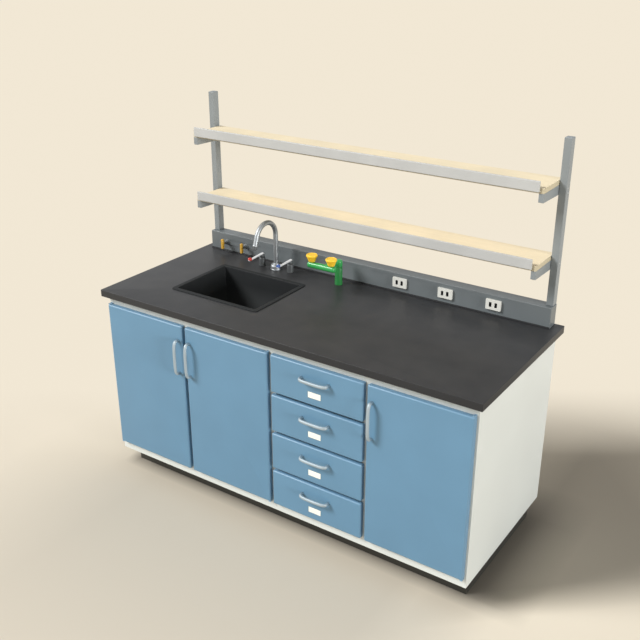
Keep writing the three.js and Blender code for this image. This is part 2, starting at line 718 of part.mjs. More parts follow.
function sinkTap() {
  const whole = group(
    tapBase(),
    tapSpout(),
    valve('hot_valve', -1),
    valve('cold_valve', 1),
    valveLever('hot_lever', -1),
    valveLever('cold_lever', 1),
  );
  whole.position.set(SINK_X, sinkBack + TAP_SETBACK, BENCH_HEIGHT + SEAT_GAP);
  return whole;
}

// Hub, rising arm and crossbar with a seat under each spray head
function eyewashYoke() {
  const hubFoot = POST_HEIGHT + SEAT_GAP;
  const armFoot = hubFoot + HUB_HEIGHT / 2;
  const barHeight = armFoot + ARM_RISE;
  const hub = roundBar(POST_RADIUS, hubFoot, HUB_HEIGHT);
  const arm = roundBar(ARM_RADIUS, 0, Math.hypot(ARM_REACH, ARM_RISE), BAR_SIDES)
    .rotateX(Math.atan2(ARM_REACH, ARM_RISE))
    .translate(0, 0, armFoot);
  const bar = roundBar(CROSSBAR_RADIUS, -CROSSBAR_LENGTH / 2, CROSSBAR_LENGTH, ROUND_SIDES / 2)
    .rotateY(Math.PI / 2)
    .translate(0, -ARM_REACH, barHeight);
  const seatTop = CROSSBAR_RADIUS + CUP_SEAT_HEIGHT;
  const seats = [-1, 1].map((side) => roundBar(CUP_SEAT_RADIUS, 0, seatTop, BAR_SIDES)
    .translate(side * CUP_SPACING / 2, -ARM_REACH, barHeight));
  return piece('eyewash_yoke', joined(hub, arm, bar, ...seats), 'greenCoat');
}

// Spray head, a shallow-topped cone widening upwards
function eyewashCup(name, side) {
  const seat = POST_HEIGHT + SEAT_GAP + HUB_HEIGHT / 2 + ARM_RISE + CROSSBAR_RADIUS + CUP_SEAT_HEIGHT;
  return piece(name, turned([
    [0, 0],
    [CUP_BASE_RADIUS, 0],
    [CUP_TOP_RADIUS, CUP_HEIGHT],
    [CUP_TOP_RADIUS - CUP_RIM, CUP_HEIGHT],
    [CUP_TOP_RADIUS - CUP_RIM, CUP_HEIGHT - CUP_RECESS],
    [0, CUP_HEIGHT - CUP_RECESS],
  ]), 'yellowPlastic', side * CUP_SPACING / 2, -ARM_REACH, seat + SEAT_GAP);
}

function eyewash() {
  const whole = group(
    piece('eyewash_post', roundBar(POST_RADIUS, 0, POST_HEIGHT), 'greenCoat'),
    eyewashYoke(),
    eyewashCup('eyewash_left_cup', -1),
    eyewashCup('eyewash_right_cup', 1),
  );
  whole.position.set(EYEWASH_X, railFront - EYEWASH_SETBACK, BENCH_HEIGHT + SEAT_GAP);
  return whole;
}

const bench = group(
  carcass(),
  worktop(),
  sink(),
  serviceRail(),
  gasLever('left_gas_lever', 0),
  gasLever('right_gas_lever', 1),
  upright('left_upright', -1),
  upright('right_upright', 1),
  shelf('lower', LOWER_SHELF_RISE),
  shelf('upper', UPPER_SHELF_RISE),
  sinkTap(),
  eyewash(),
  door('left_door', 0, -1),
  door('middle_door', 1, 1),
  door('right_door', 3, 1),
  runner('left_runners', -1),
  runner('right_runners', 1),
);
for (let index = 0; index < SOCKETS; index += 1) {
  bench.add(socketPlate(index));
}
for (let index = 0; index < DRAWERS; index += 1) {
  bench.add(drawer(index));
}

export default bench;
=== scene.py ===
"""Looks of a laboratory bench with a sink, a service rail and a two-tier reagent shelf.

Sizes are millimetres in the frame of the solids: the origin is on the floor under the
middle of the bench, +X runs to the user's right, -Y faces the user and +Z is up.
"""

import logging
import math
from dataclasses import dataclass
from enum import Enum
from functools import cache
from typing import Sequence

import bpy
import numpy as np
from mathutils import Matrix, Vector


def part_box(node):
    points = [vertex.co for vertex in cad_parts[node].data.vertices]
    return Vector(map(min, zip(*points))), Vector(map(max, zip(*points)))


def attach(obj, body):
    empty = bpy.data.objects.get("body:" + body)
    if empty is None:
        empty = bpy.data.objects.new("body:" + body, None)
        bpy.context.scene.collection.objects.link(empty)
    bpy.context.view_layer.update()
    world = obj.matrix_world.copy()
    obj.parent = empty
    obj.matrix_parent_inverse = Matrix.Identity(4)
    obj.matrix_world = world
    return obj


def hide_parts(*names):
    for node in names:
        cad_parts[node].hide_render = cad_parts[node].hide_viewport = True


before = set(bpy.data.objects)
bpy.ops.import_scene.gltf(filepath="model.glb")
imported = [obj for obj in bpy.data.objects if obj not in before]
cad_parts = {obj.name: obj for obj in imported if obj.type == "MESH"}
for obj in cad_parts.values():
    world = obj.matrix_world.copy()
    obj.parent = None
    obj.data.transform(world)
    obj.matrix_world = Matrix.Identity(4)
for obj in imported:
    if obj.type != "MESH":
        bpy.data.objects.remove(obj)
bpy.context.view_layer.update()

Array = np.ndarray
Triple = tuple[float, float, float]
Ramp = tuple[float, float, float, float]

MM = 0.001
ROOT = "bench"
LOG = logging.getLogger("lab_bench")
X_AXIS: Triple = (1, 0, 0)
Y_AXIS: Triple = (0, 1, 0)
Z_AXIS: Triple = (0, 0, 1)
BLACK: Triple = (0.0, 0.0, 0.0)

# Plane of the door and drawer fronts, in metres.
FRONT_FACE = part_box("left_door")[0][1]


class Side(Enum):
    """The user's left and right, as the sign of X."""

    LEFT = -1
    RIGHT = 1

    @property
    def word(self) -> str:
        """The side as the solids' names spell it."""
        return self.name.lower()


class Grain(Enum):
    """How a noise is stretched: the axis along which its streaks run, or none."""

    NONE = (1.0, 1.0, 1.0)
    ALONG_X = (0.04, 1.0, 1.0)
    ALONG_Y = (1.0, 0.04, 1.0)


def linear(red: int, green: int, blue: int) -> Triple:
    """Turns a screen colour into linear light.

    Args:
        red, green, blue: Levels from 0 to 255.

    Returns:
        The three levels by the sRGB curve, from 0 to 1.
    """
    level = np.array([red, green, blue]) / 255
    light = np.where(level <= 0.04045, level / 12.92, ((level + 0.055) / 1.055) ** 2.4)
    return tuple(float(value) for value in light)


# Surfaces

# Most of a line's length that the curve at one of its corners may take.
CORNER_SHARE = 0.45


@dataclass(frozen=True)
class Plane:
    """A working plane with its origin and two unit directions; the third is their cross product."""

    origin: Triple
    u: Triple = X_AXIS
    v: Triple = Y_AXIS

    def place(self, along_u: Array, along_v: Array, out: Array) -> Array:
        """Gives origin + u * along_u + v * along_v + (u x v) * out, in millimetres.

        Args:
            along_u, along_v, out: Distances along the three directions, all of one shape.

        Returns:
            The points, with their three coordinates along the last axis.
        """
        origin, u, v = (np.asarray(part, float) for part in (self.origin, self.u, self.v))
        parts = zip((along_u, along_v, out), (u, v, np.cross(u, v)))
        return origin + sum(amount[..., None] * direction for amount, direction in parts)


def upright_plane(x: float, y: float, z: float) -> Plane:
    """Plane whose third direction is +Z."""
    return Plane((x, y, z))


def facing_plane(x: float, y: float, z: float) -> Plane:
    """Plane whose third direction is -Y, towards the user."""
    return Plane((x, y, z), X_AXIS, Z_AXIS)


def softened(points: Sequence[Sequence[float]], radius: float, steps: int = 4) -> Array:
    """Rounds the inner corners of a line of points.

    Each corner becomes a parabola (1-t)^2 A + 2t(1-t) B + t^2 C, with A and C on the two
    lines that meet there, at most the radius away from the corner B.

    Args:
        points: The line's points, in two dimensions.
        radius: Distance from a corner to the ends of its curve.
        steps: Pieces of each curve.

    Returns:
        The points of the rounded line.
    """
    line = np.asarray(points, float)
    corner = line[1:-1]
    back, ahead = line[:-2] - corner, line[2:] - corner
    back_length = np.linalg.norm(back, axis=1, keepdims=True)
    ahead_length = np.linalg.norm(ahead, axis=1, keepdims=True)
    reach = np.minimum(radius, CORNER_SHARE * np.minimum(back_length, ahead_length))
    start = (corner + back / back_length * reach)[:, None]
    end = (corner + ahead / ahead_length * reach)[:, None]
    share = np.linspace(0, 1, steps + 1)[None, :, None]
    curve = (1 - share) ** 2 * start + 2 * share * (1 - share) * corner[:, None] + share**2 * end
    return np.vstack([line[:1], curve.reshape(-1, 2), line[-1:]])


def turned(profile: Array, plane: Plane, sides: int = 48) -> Array:
    """Surface of revolution: (r cos a, r sin a, h) for each profile point (r, h) and angle a.

    Args:
        profile: Radius and height of each point, from the lower end to the upper.
        plane: Plane whose third direction is the axis.
        sides: Points round the axis.

    Returns:
        Grid of points, one ring for each profile point.
    """
    angle = np.linspace(0, 2 * np.pi, sides, endpoint=False)
    radius, height = (column[:, None] for column in np.asarray(profile, float).T)
    return plane.place(radius * np.cos(angle), radius * np.sin(angle), height + 0 * angle)


def moulded(
    half: tuple[float, float],
    corner: float,
    profile: Array,
    plane: Plane,
    least: float = 0.6,
    arc: int = 7,
) -> Array:
    """Profile carried round a rectangle with arc corners.

    At a profile point (d, h) the outline is the rectangle moved inwards by d: its corner
    radius is the larger of corner - d and the least radius, and it lies at height h.

    Args:
        half: Half of the rectangle's two sides.
        corner: Radius of its corners where d is 0.
        profile: Inset and height of each point, from the lower end to the upper.
        plane: Plane of the rectangle.
        least: Least corner radius.
        arc: Points on each corner.

    Returns:
        Grid of points, one ring for each profile point.
    """
    inset, height = (column[:, None] for column in np.asarray(profile, float).T)
    radius = np.maximum(corner - inset, least)
    quarter = np.linspace(0, np.pi / 2, arc)
    angle = (quarter + np.pi / 2 * np.arange(4)[:, None]).ravel()
    sign_u, sign_v = np.repeat([[1, -1, -1, 1], [1, 1, -1, -1]], arc, axis=1)
    along_u = sign_u * (half[0] - inset - radius) + radius * np.cos(angle)
    along_v = sign_v * (half[1] - inset - radius) + radius * np.sin(angle)
    return plane.place(along_u, along_v, height + 0 * angle)


def eased(thickness: float, front: float, back: float = 0.6, steps: int = 6) -> Array:
    """Edge profile of a plate: a quarter circle of radius back, a flat edge, one of radius front.

    Args:
        thickness: Height of the plate.
        front: Radius of the upper edge.
        back: Radius of the lower edge.
        steps: Pieces of each quarter circle.

    Returns:
        Inset and height of each point.
    """
    turn = np.linspace(0, np.pi / 2, steps + 1)
    lower = np.stack([back * (1 - np.sin(turn)), back * (1 - np.cos(turn))], axis=1)
    upper = np.stack([front * (1 - np.cos(turn)), thickness - front * (1 - np.sin(turn))], axis=1)
    return np.vstack([lower, upper])


def resampled(path: Array, count: int) -> Array:
    """Spaces points evenly along a path, by linear interpolation over its length.

    Args:
        path: Points of the path.
        count: Points wanted.

    Returns:
        The new points, from the path's start to its end.
    """
    length = np.concatenate([[0], np.cumsum(np.linalg.norm(np.diff(path, axis=0), axis=1))])
    even = np.linspace(0, length[-1], count)
    return np.stack([np.interp(even, length, column) for column in path.T], axis=1)


def swept(
    path: Array,
    half_in: Array,
    half_across: Array,
    across: Triple,
    squareness: float = 2.0,
    sides: int = 20,
) -> Array:
    """Superellipse carried along a path that lies in one plane.

    The section at a path point is n * a * |cos t|^(2/q) + b * c * |sin t|^(2/q), with the signs
    of cos t and sin t, where b is the plane's normal and n = b x tangent.

    Args:
        path: Points of the path.
        half_in: Half size a of the section in the path's plane, at each point.
        half_across: Half size c of the section across that plane, at each point.
        across: The plane's unit normal b.
        squareness: The exponent q; 2 is an ellipse and more is squarer.
        sides: Points round the section.

    Returns:
        Grid of points, one ring for each path point.
    """
    tangent = np.gradient(path, axis=0)
    tangent /= np.linalg.norm(tangent, axis=1, keepdims=True)
    normal = np.cross(np.asarray(across, float), tangent)
    angle = np.linspace(0, 2 * np.pi, sides, endpoint=False)
    waves = (np.cos(angle), np.sin(angle))
    cosine, sine = (np.sign(wave) * np.abs(wave) ** (2 / squareness) for wave in waves)
    inner = (half_in[:, None] * cosine)[..., None] * normal[:, None, :]
    outer = (half_across[:, None] * sine)[..., None] * np.asarray(across, float)
    return path[:, None, :] + inner + outer


def closing(count: int, end: float, least: float = 0.12) -> Array:
    """Factor that rounds both ends of a bar: sqrt(1 - (1 - s)^2) over the share s of each end.

    Args:
        count: Points along the bar.
        end: Share of the bar's length that each end takes.
        least: Least factor, at the very ends.

    Returns:
        The factor at each point, 1 between the ends.
    """
    place = np.linspace(0, 1, count)
    share = np.clip(np.minimum(place, 1 - place) / end, 0, 1)
    return np.maximum(np.sqrt(1 - (1 - share) ** 2), least)


# Shader graphs

FLOAT = "NodeSocketFloat"
VECTOR = "NodeSocketVector"

# Limits between which a mask rises or falls.
EDGE_LIMITS = (0.8, 0.995)
UPWARD_LIMITS = (0.6, 0.95)
SIDE_SHADING_LIMITS = (0.2, 0.6)
LEAST_WEAR_AND_HIGHLIGHT = 0.35


class Graph:
    """Adds nodes to one node tree and links them by socket."""

    def __init__(self, tree: bpy.types.NodeTree) -> None:
        """Takes over a node tree and empties it."""
        self.tree = tree
        tree.nodes.clear()

    def add(self, kind: str, settings: dict | None = None, **inputs: object) -> bpy.types.Node:
        """Adds a node and fills its inputs.

        Args:
            kind: The node's type.
            settings: Properties of the node itself.
            **inputs: Sockets to link from or values to set, by input name with _ for a space;
                a name i0, i1 and so on is the input at that place.

        Returns:
            The new node.
        """
        node = self.tree.nodes.new(kind)
        for name, value in (settings or {}).items():
            setattr(node, name, value)
        for name, value in inputs.items():
            by_place = name[0] == "i" and name[1:].isdigit()
            socket = node.inputs[int(name[1:]) if by_place else name.replace("_", " ")]
            if isinstance(value, bpy.types.NodeSocket):
                self.tree.links.new(value, socket)
            else:
                socket.default_value = value
        return node

    def math(
        self, operation: str, first: object, second: object = 0.0, clamp: bool = False
    ) -> object:
        """Adds a Math node and returns its value socket."""
        settings = {"operation": operation, "use_clamp": clamp}
        return self.add("ShaderNodeMath", settings, i0=first, i1=second).outputs[0]

    def weighted(self, first: object, a: float, second: object, b: float) -> object:
        """Adds a * first + b * second and returns the value socket."""
        return self.math("ADD", self.math("MULTIPLY", first, a), self.math("MULTIPLY", second, b))

    def mix(self, factor: object, first: object, second: object) -> object:
        """Adds a colour Mix node and returns its colour socket."""
        settings = {"data_type": "RGBA"}
        return self.add("ShaderNodeMix", settings, i0=factor, i6=first, i7=second).outputs[2]

    def spread(
        self, value: object, low: float, high: float, start: float = 0.3, end: float = 0.7
    ) -> object:
        """Maps a value from start..end to low..high and returns the socket."""
        limits = {"From_Min": start, "From_Max": end, "To_Min": low, "To_Max": high}
        return self.add("ShaderNodeMapRange", Value=value, **limits).outputs[0]

    def noise(self, coordinate: object, scale: object, detail: float = 3.0) -> object:
        """Adds a noise on the given coordinate and returns its value socket."""
        node = self.add("ShaderNodeTexNoise", Vector=coordinate, Scale=scale, Detail=detail)
        return node.outputs[0]

    def split(self, vector: object) -> object:
        """Adds a Separate XYZ node and returns its outputs X, Y and Z."""
        return self.add("ShaderNodeSeparateXYZ", Vector=vector).outputs

    def place(self, tree: bpy.types.NodeTree, **inputs: object) -> bpy.types.Node:
        """Adds a node group with its own values.

        Args:
            tree: The group.
            **inputs: Values to set, by input name with _ for a space.

        Returns:
            The new node.
        """
        node = self.tree.nodes.new("ShaderNodeGroup")
        node.node_tree = tree
        for name, value in inputs.items():
            node.inputs[name.replace("_", " ")].default_value = value
        return node


def opaque(color: Sequence[float]) -> tuple[float, float, float, float]:
    """Adds a full alpha to a colour."""
    return (*color, 1.0)


def new_group(
    name: str, inputs: dict[str, str], outputs: Sequence[str]
) -> tuple[Graph, bpy.types.Node, bpy.types.Node]:
    """Starts a shader node group with named sockets.

    Args:
        name: The group's name.
        inputs: Socket type of each input, by name.
        outputs: Names of the outputs, which are single values.

    Returns:
        The graph, its input node and its output node.
    """
    tree = bpy.data.node_groups.new(name, "ShaderNodeTree")
    for title, kind in inputs.items():
        tree.interface.new_socket(title, in_out="INPUT", socket_type=kind)
    for title in outputs:
        tree.interface.new_socket(title, in_out="OUTPUT", socket_type=FLOAT)
    graph = Graph(tree)
    return graph, graph.add("NodeGroupInput"), graph.add("NodeGroupOutput")


def object_coordinate(graph: Graph) -> object:
    """Object coordinates of the surface point."""
    return graph.add("ShaderNodeTexCoord").outputs["Object"]


@cache
def surface_play() -> bpy.types.NodeTree:
    """Makes a broad drift and a fine grain, two noises of which the fine one is stretched.

    Returns:
        The node group.
    """
    sockets = {"Broad Scale": FLOAT, "Fine Scale": FLOAT, "Stretch": VECTOR}
    graph, given, result = new_group("surface_play", sockets, ("Broad", "Fine"))
    place = object_coordinate(graph)
    multiply = {"operation": "MULTIPLY"}
    stretched = graph.add("ShaderNodeVectorMath", multiply, i0=place, i1=given.outputs["Stretch"])
    broad = graph.noise(place, given.outputs["Broad Scale"])
    fine = graph.noise(stretched.outputs[0], given.outputs["Fine Scale"], 2.0)
    graph.tree.links.new(broad, result.inputs["Broad"])
    graph.tree.links.new(fine, result.inputs["Fine"])
    return graph.tree


@cache
def edge_wear_and_highlight() -> bpy.types.NodeTree:
    """Makes a mask of the edges: 1 - (rounded normal . true normal), broken up by a noise; it gives
    rubbed edges on most finishes and a painted highlight on the blue fronts and the rail.

    Returns:
        The node group.
    """
    sockets = {"Radius": FLOAT, "Noise Scale": FLOAT}
    graph, given, result = new_group("edge_wear_and_highlight", sockets, ("Wear",))
    rounded = graph.add("ShaderNodeBevel", {"samples": 4}, Radius=given.outputs["Radius"])
    true = graph.add("ShaderNodeNewGeometry").outputs["True Normal"]
    dot = {"operation": "DOT_PRODUCT"}
    alike = graph.add("ShaderNodeVectorMath", dot, i0=rounded.outputs[0], i1=true)
    edge = graph.spread(alike.outputs["Value"], 1.0, 0.0, *EDGE_LIMITS)
    cloud = graph.noise(object_coordinate(graph), given.outputs["Noise Scale"])
    broken = graph.spread(cloud, LEAST_WEAR_AND_HIGHLIGHT, 1.0)
    graph.tree.links.new(graph.math("MULTIPLY", edge, broken, True), result.inputs["Wear"])
    return graph.tree


@cache
def settled_dust() -> bpy.types.NodeTree:
    """Makes a mask of faint dust: the upward part of the normal times a cloudy noise.

    Returns:
        The node group.
    """
    graph, given, result = new_group("settled_dust", {"Noise Scale": FLOAT}, ("Dust",))
    normal = graph.add("ShaderNodeNewGeometry").outputs["Normal"]
    upward = graph.spread(graph.split(normal)["Z"], 0.0, 1.0, *UPWARD_LIMITS)
    noise = graph.noise(object_coordinate(graph), given.outputs["Noise Scale"], 5.0)
    cloud = graph.spread(noise, 0.0, 1.0)
    graph.tree.links.new(graph.math("MULTIPLY", upward, cloud, True), result.inputs["Dust"])
    return graph.tree


# Finishes

BROAD_SCALE = 6.0
DUST_SCALE = 9.0
WEAR_AND_HIGHLIGHT_SCALE = 35.0
DUST_COLOR: Triple = (0.42, 0.4, 0.36)
STREAK_LEVEL = 0.72
RELIEF_DEPTH = 0.4 * MM
COAT_ROUGHNESS = 0.12


@dataclass(frozen=True)
class Finish:
    """A coated, moulded or metal surface whose colour drifts, whose edges are rubbed or carry a
    painted highlight, and which may carry painted light and shade.

    Attributes:
        worn_and_painted_light: Colour of bare or highlighted edges and of the painted band.
        drift, roughness_drift: How far colour and roughness vary.
        fine, relief: Scale of the fine grain and strength of its relief.
        grain, grain_tint: Way of the grain's streaks and how dark they are.
        wear, edge: Strength of the edge mask, rubbed or painted highlight, and its width in
            millimetres.
        film, film_axis: Where the painted band is full and where it ends along an axis, in metres.
        painted_side_shading, face: Painted colour of the faces that do not face an axis, and that
            axis.
    """

    name: str
    color: Triple
    worn_and_painted_light: Triple
    roughness: float = 0.45
    metallic: float = 0.0
    drift: float = 0.05
    roughness_drift: float = 0.06
    fine: float = 900.0
    relief: float = 0.05
    grain: Grain = Grain.NONE
    grain_tint: float = 0.0
    wear: float = 0.35
    edge: float = 1.5
    dust: float = 0.0
    coat: float = 0.0
    specular: float = 0.5
    film: tuple[float, float] | None = None
    film_axis: str = "Z"
    painted_side_shading: Triple | None = None
    face: str = "Y"

    def material(self) -> bpy.types.Material:
        """Makes the material at the first call.

        Returns:
            This finish's material.
        """
        if self.name in bpy.data.materials:
            return bpy.data.materials[self.name]
        material = bpy.data.materials.new(self.name)
        material.use_nodes = True
        graph = Graph(material.node_tree)
        play = graph.place(
            surface_play(), Broad_Scale=BROAD_SCALE, Fine_Scale=self.fine, Stretch=self.grain.value
        )
        broad, fine = play.outputs["Broad"], play.outputs["Fine"]
        rough = graph.spread(
            graph.weighted(broad, 0.5, fine, 0.5),
            self.roughness - self.roughness_drift,
            self.roughness + self.roughness_drift,
        )
        bump = graph.add("ShaderNodeBump", Strength=self.relief, Distance=RELIEF_DEPTH, Height=fine)
        shader = graph.add(
            "ShaderNodeBsdfPrincipled",
            Base_Color=self.tint(graph, broad, fine),
            Roughness=rough,
            Metallic=self.metallic,
            Specular_IOR_Level=self.specular,
            Coat_Weight=self.coat,
            Coat_Roughness=COAT_ROUGHNESS,
            Normal=bump.outputs[0],
        )
        graph.add("ShaderNodeOutputMaterial", Surface=shader.outputs[0])
        return material

    def tint(self, graph: Graph, broad: object, fine: object) -> object:
        """Colour that drifts, then shows streaks, dust, painted side shading, a painted band and bare
        or highlighted edges.

        Args:
            graph: The material's graph.
            broad: Broad noise.
            fine: Fine noise.

        Returns:
            The colour socket.
        """
        levels = np.array(self.color)
        low, high = (opaque(levels * (1 + sign * self.drift)) for sign in (-1, 1))
        color = graph.mix(graph.spread(broad, 0.0, 1.0), low, high)
        streak = graph.math("MULTIPLY", graph.spread(fine, 0.0, 1.0), self.grain_tint)
        color = graph.mix(streak, color, opaque(levels * STREAK_LEVEL))
        dust = graph.place(settled_dust(), Noise_Scale=DUST_SCALE).outputs["Dust"]
        color = graph.mix(graph.math("MULTIPLY", dust, self.dust), color, opaque(DUST_COLOR))
        # Painted side shading: faces turned away from the main axis take another colour, standing in
        # for how light falls on them.
        if self.painted_side_shading:
            normal = graph.add("ShaderNodeTexCoord").outputs["Normal"]
            facing = graph.math("ABSOLUTE", graph.split(normal)[self.face])
            side_share = graph.spread(facing, 1.0, 0.0, *SIDE_SHADING_LIMITS)
            color = graph.mix(side_share, color, opaque(self.painted_side_shading))
        # Painted band along one axis: painted light on the sink bowl's lower part, painted shade on
        # the pulls' feet and card holders.
        if self.film:
            place = graph.split(object_coordinate(graph))[self.film_axis]
            band_share = graph.spread(place, 1.0, 0.0, *self.film)
            color = graph.mix(band_share, color, opaque(self.worn_and_painted_light))
        # Edge mask: rubbed edges on most finishes, a painted highlight on the blue fronts and the
        # rail.
        bare = graph.place(edge_wear_and_highlight(), Radius=self.edge * MM, Noise_Scale=WEAR_AND_HIGHLIGHT_SCALE)
        share = graph.math("MULTIPLY", bare.outputs["Wear"], self.wear)
        return graph.mix(share, color, opaque(self.worn_and_painted_light))


WHITE_BOARD = Finish(
    "white_melamine", linear(208, 212, 208), linear(229, 231, 227), 0.42, drift=0.015, relief=0.06
)
BLACK_LAMINATE = Finish(
    "black_plinth_laminate", linear(48, 47, 42), linear(84, 82, 76), 0.5, dust=0.08
)
# The edge mask paints a pale blue highlight on the fronts' rounded edges; side faces carry painted
# side shading a little lighter than the face.
BLUE_LAMINATE = Finish(
    "blue_front_laminate",
    linear(95, 134, 161),
    linear(178, 206, 226),
    0.4,
    drift=0.03,
    relief=0.04,
    wear=0.9,
    edge=5.0,
    painted_side_shading=linear(98, 135, 162),
)
EPOXY_RESIN = Finish(
    "black_epoxy_resin",
    linear(40, 41, 43),
    linear(70, 70, 70),
    0.4,
    fine=1400.0,
    wear=0.0,
    dust=0.03,
    specular=0.34,
)
# The painted band makes the lower bowl lighter: painted light on the floor and lower walls of the
# bowl, which lie in shade.
SINK_RESIN = Finish(
    "sink_epoxy_resin",
    linear(35, 37, 38),
    linear(60, 62, 62),
    0.6,
    drift=0.1,
    fine=1200.0,
    wear=0.0,
    specular=0.18,
    film=(0.74, 0.84),
)
GREY_COAT = Finish(
    "grey_powder_coat", linear(131, 137, 139), linear(172, 178, 180), 0.42, fine=2200.0, relief=0.1
)
# The edge mask lightens the rail's edges: a painted highlight.
RAIL_COAT = Finish(
    "rail_powder_coat",
    linear(103, 109, 111),
    linear(190, 196, 198),
    0.36,
    fine=2200.0,
    relief=0.1,
    wear=0.6,
    edge=2.5,
)
# Board ends and fronts carry darker painted side shading: painted shade.
SHELF_LAMINATE = Finish(
    "cream_shelf_laminate",
    linear(237, 222, 190),
    linear(247, 237, 213),
    0.6,
    fine=160.0,
    grain=Grain.ALONG_X,
    grain_tint=0.18,
    specular=0.2,
    painted_side_shading=linear(188, 178, 152),
    face="Z",
)
LIP_COAT = Finish(
    "light_grey_coat", linear(181, 182, 180), linear(214, 215, 213), 0.42, fine=2000.0, relief=0.08
)
# The painted band darkens the pulls' feet and the card holders near the front face: painted shade.
SATIN_NICKEL = Finish(
    "satin_nickel",
    linear(160, 173, 179),
    linear(98, 123, 138),
    0.5,
    metallic=0.25,
    roughness_drift=0.08,
    fine=1500.0,
    wear=0.0,
    specular=0.4,
    film=(FRONT_FACE - 0.006, FRONT_FACE - 0.02),
    film_axis="Y",
)
CHROME = Finish(
    "soft_chrome", linear(156, 160, 162), linear(196, 198, 199), 0.48, metallic=0.85, drift=0.03
)
DULL_CHROME = Finish(
    "grey_chrome", linear(90, 93, 94), linear(150, 153, 154), 0.45, metallic=0.4, drift=0.04
)
BRIGHT_METAL = Finish(
    "bright_lever_metal",
    linear(234, 236, 238),
    linear(246, 246, 246),
    0.34,
    metallic=0.35,
    drift=0.03,
)
DARK_METAL = Finish(
    "dark_spindle_metal", linear(84, 87, 88), linear(132, 135, 136), metallic=0.3, drift=0.04
)
ZINC = Finish(
    "zinc_plated_steel",
    linear(178, 181, 182),
    linear(214, 215, 214),
    0.4,
    0.9,
    fine=700.0,
    grain=Grain.ALONG_Y,
)
GREEN_COAT = Finish(
    "green_gloss_coat", linear(50, 156, 78), linear(116, 196, 128), 0.38, fine=1500.0, coat=0.15
)
# Darker copy of the green coat, used for the post: painted shade.
SHADED_GREEN_COAT = Finish(
    "green_coat_painted_shade", linear(40, 124, 60), linear(92, 160, 104), 0.38, fine=1500.0, coat=0.15
)
YELLOW_PLASTIC = Finish(
    "yellow_moulded_plastic", linear(252, 204, 54), linear(253, 228, 132), 0.36, fine=1300.0
)
GAS_YELLOW = Finish(
    "golden_lever_coat", linear(200, 157, 56), linear(220, 188, 112), 0.34, fine=1600.0
)
WHITE_PLASTIC = Finish(
    "white_moulded_plastic", linear(214, 214, 207), linear(232, 232, 226), 0.34, fine=1300.0
)
# Dark bead along the rail's foot: painted contact shade where the rail meets the worktop.
CONTACT_SHADE_BEAD = Finish(
    "painted_contact_shade", linear(24, 25, 26), linear(40, 41, 42), 0.6, fine=1200.0, wear=0.0, specular=0.2
)
# Dark discs and cups in the strainer holes and socket slots: painted shade inside the holes.
HOLE_SHADE = Finish(
    "painted_hole_shade", linear(26, 27, 28), linear(48, 49, 50), 0.55, fine=1200.0
)
DRAWER_BOARD = Finish(
    "pale_drawer_board",
    linear(226, 218, 200),
    linear(240, 234, 220),
    0.5,
    fine=120.0,
    grain=Grain.ALONG_Y,
    grain_tint=0.15,
)
WASTE_PLASTIC = Finish(
    "dark_waste_plastic", linear(82, 85, 86), linear(124, 127, 128), fine=1300.0, dust=0.1
)
CARD = Finish(
    "label_card",
    linear(236, 237, 226),
    linear(242, 242, 234),
    0.7,
    fine=1800.0,
    relief=0.12,
    wear=0.1,
)
RED_CAP = Finish("red_index_plastic", linear(186, 56, 46), linear(220, 120, 110), 0.3, fine=1300.0)
BLUE_CAP = Finish(
    "blue_index_plastic", linear(62, 94, 164), linear(120, 150, 206), 0.3, fine=1300.0
)


# Pieces

WELD_GAP = 0.01 * MM
EASED_ANGLE = math.radians(40)


def add_piece(
    name: str,
    grids: Sequence[Array],
    finish: Finish,
    body: str = ROOT,
    replaced: Sequence[str] = (),
    crease: float = 38.0,
    looped: bool = False,
) -> bpy.types.Object:
    """Makes one object of closed grids, whose rings wrap round and whose end rings are capped.

    Args:
        name: The piece's name.
        grids: Grids of points in millimetres, each rings by points by three.
        finish: Its finish.
        body: The body that it moves with.
        replaced: Solids that it stands for.
        crease: Angle in degrees above which an edge is sharp.
        looped: Whether the last ring of each grid meets the first instead of both being capped.

    Returns:
        The new object, at the origin.
    """
    points, faces, start = [], [], 0
    for grid in grids:
        rings, around = grid.shape[:2]
        row = np.arange(rings if looped else rings - 1)[:, None] * around
        above = (row + around) % (rings * around)
        here = np.arange(around)
        there = (here + 1) % around
        quads = np.stack([row + here, row + there, above + there, above + here], axis=-1)
        faces += (start + quads.reshape(-1, 4)).tolist()
        if not looped:
            faces += [(start + here[::-1]).tolist(), (start + (rings - 1) * around + here).tolist()]
        points.append(grid.reshape(-1, 3) * MM)
        start += rings * around
    mesh = bpy.data.meshes.new(name)
    mesh.from_pydata(np.vstack(points).tolist(), [], faces)
    mesh.polygons.foreach_set("use_smooth", np.ones(len(faces), bool))
    mesh.set_sharp_from_angle(angle=math.radians(crease))
    mesh.materials.append(finish.material())
    piece = bpy.data.objects.new(name, mesh)
    bpy.context.scene.collection.objects.link(piece)
    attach(piece, body)
    if replaced:
        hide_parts(*replaced)
    LOG.info("%s: %d points on %s", name, start, body)
    return piece


def dress(node: str, finish: Finish, edge: float = 0.0, segments: int = 2) -> None:
    """Gives a solid its finish and eases its sharp edges.

    Args:
        node: The solid's name.
        finish: Its finish.
        edge: Width of the eased edge, or 0 for none.
        segments: Pieces of the eased edge.
    """
    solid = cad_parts[node]
    solid.data.materials.clear()
    solid.data.materials.append(finish.material())
    if edge:
        weld = solid.modifiers.new("joined_corners", "WELD")
        weld.merge_threshold = WELD_GAP
        bevel = solid.modifiers.new("eased_edges", "BEVEL")
        bevel.width = edge * MM
        bevel.segments = segments
        bevel.limit_method = "ANGLE"
        bevel.angle_limit = EASED_ANGLE
    LOG.info("%s: dressed in %s", node, finish.name)


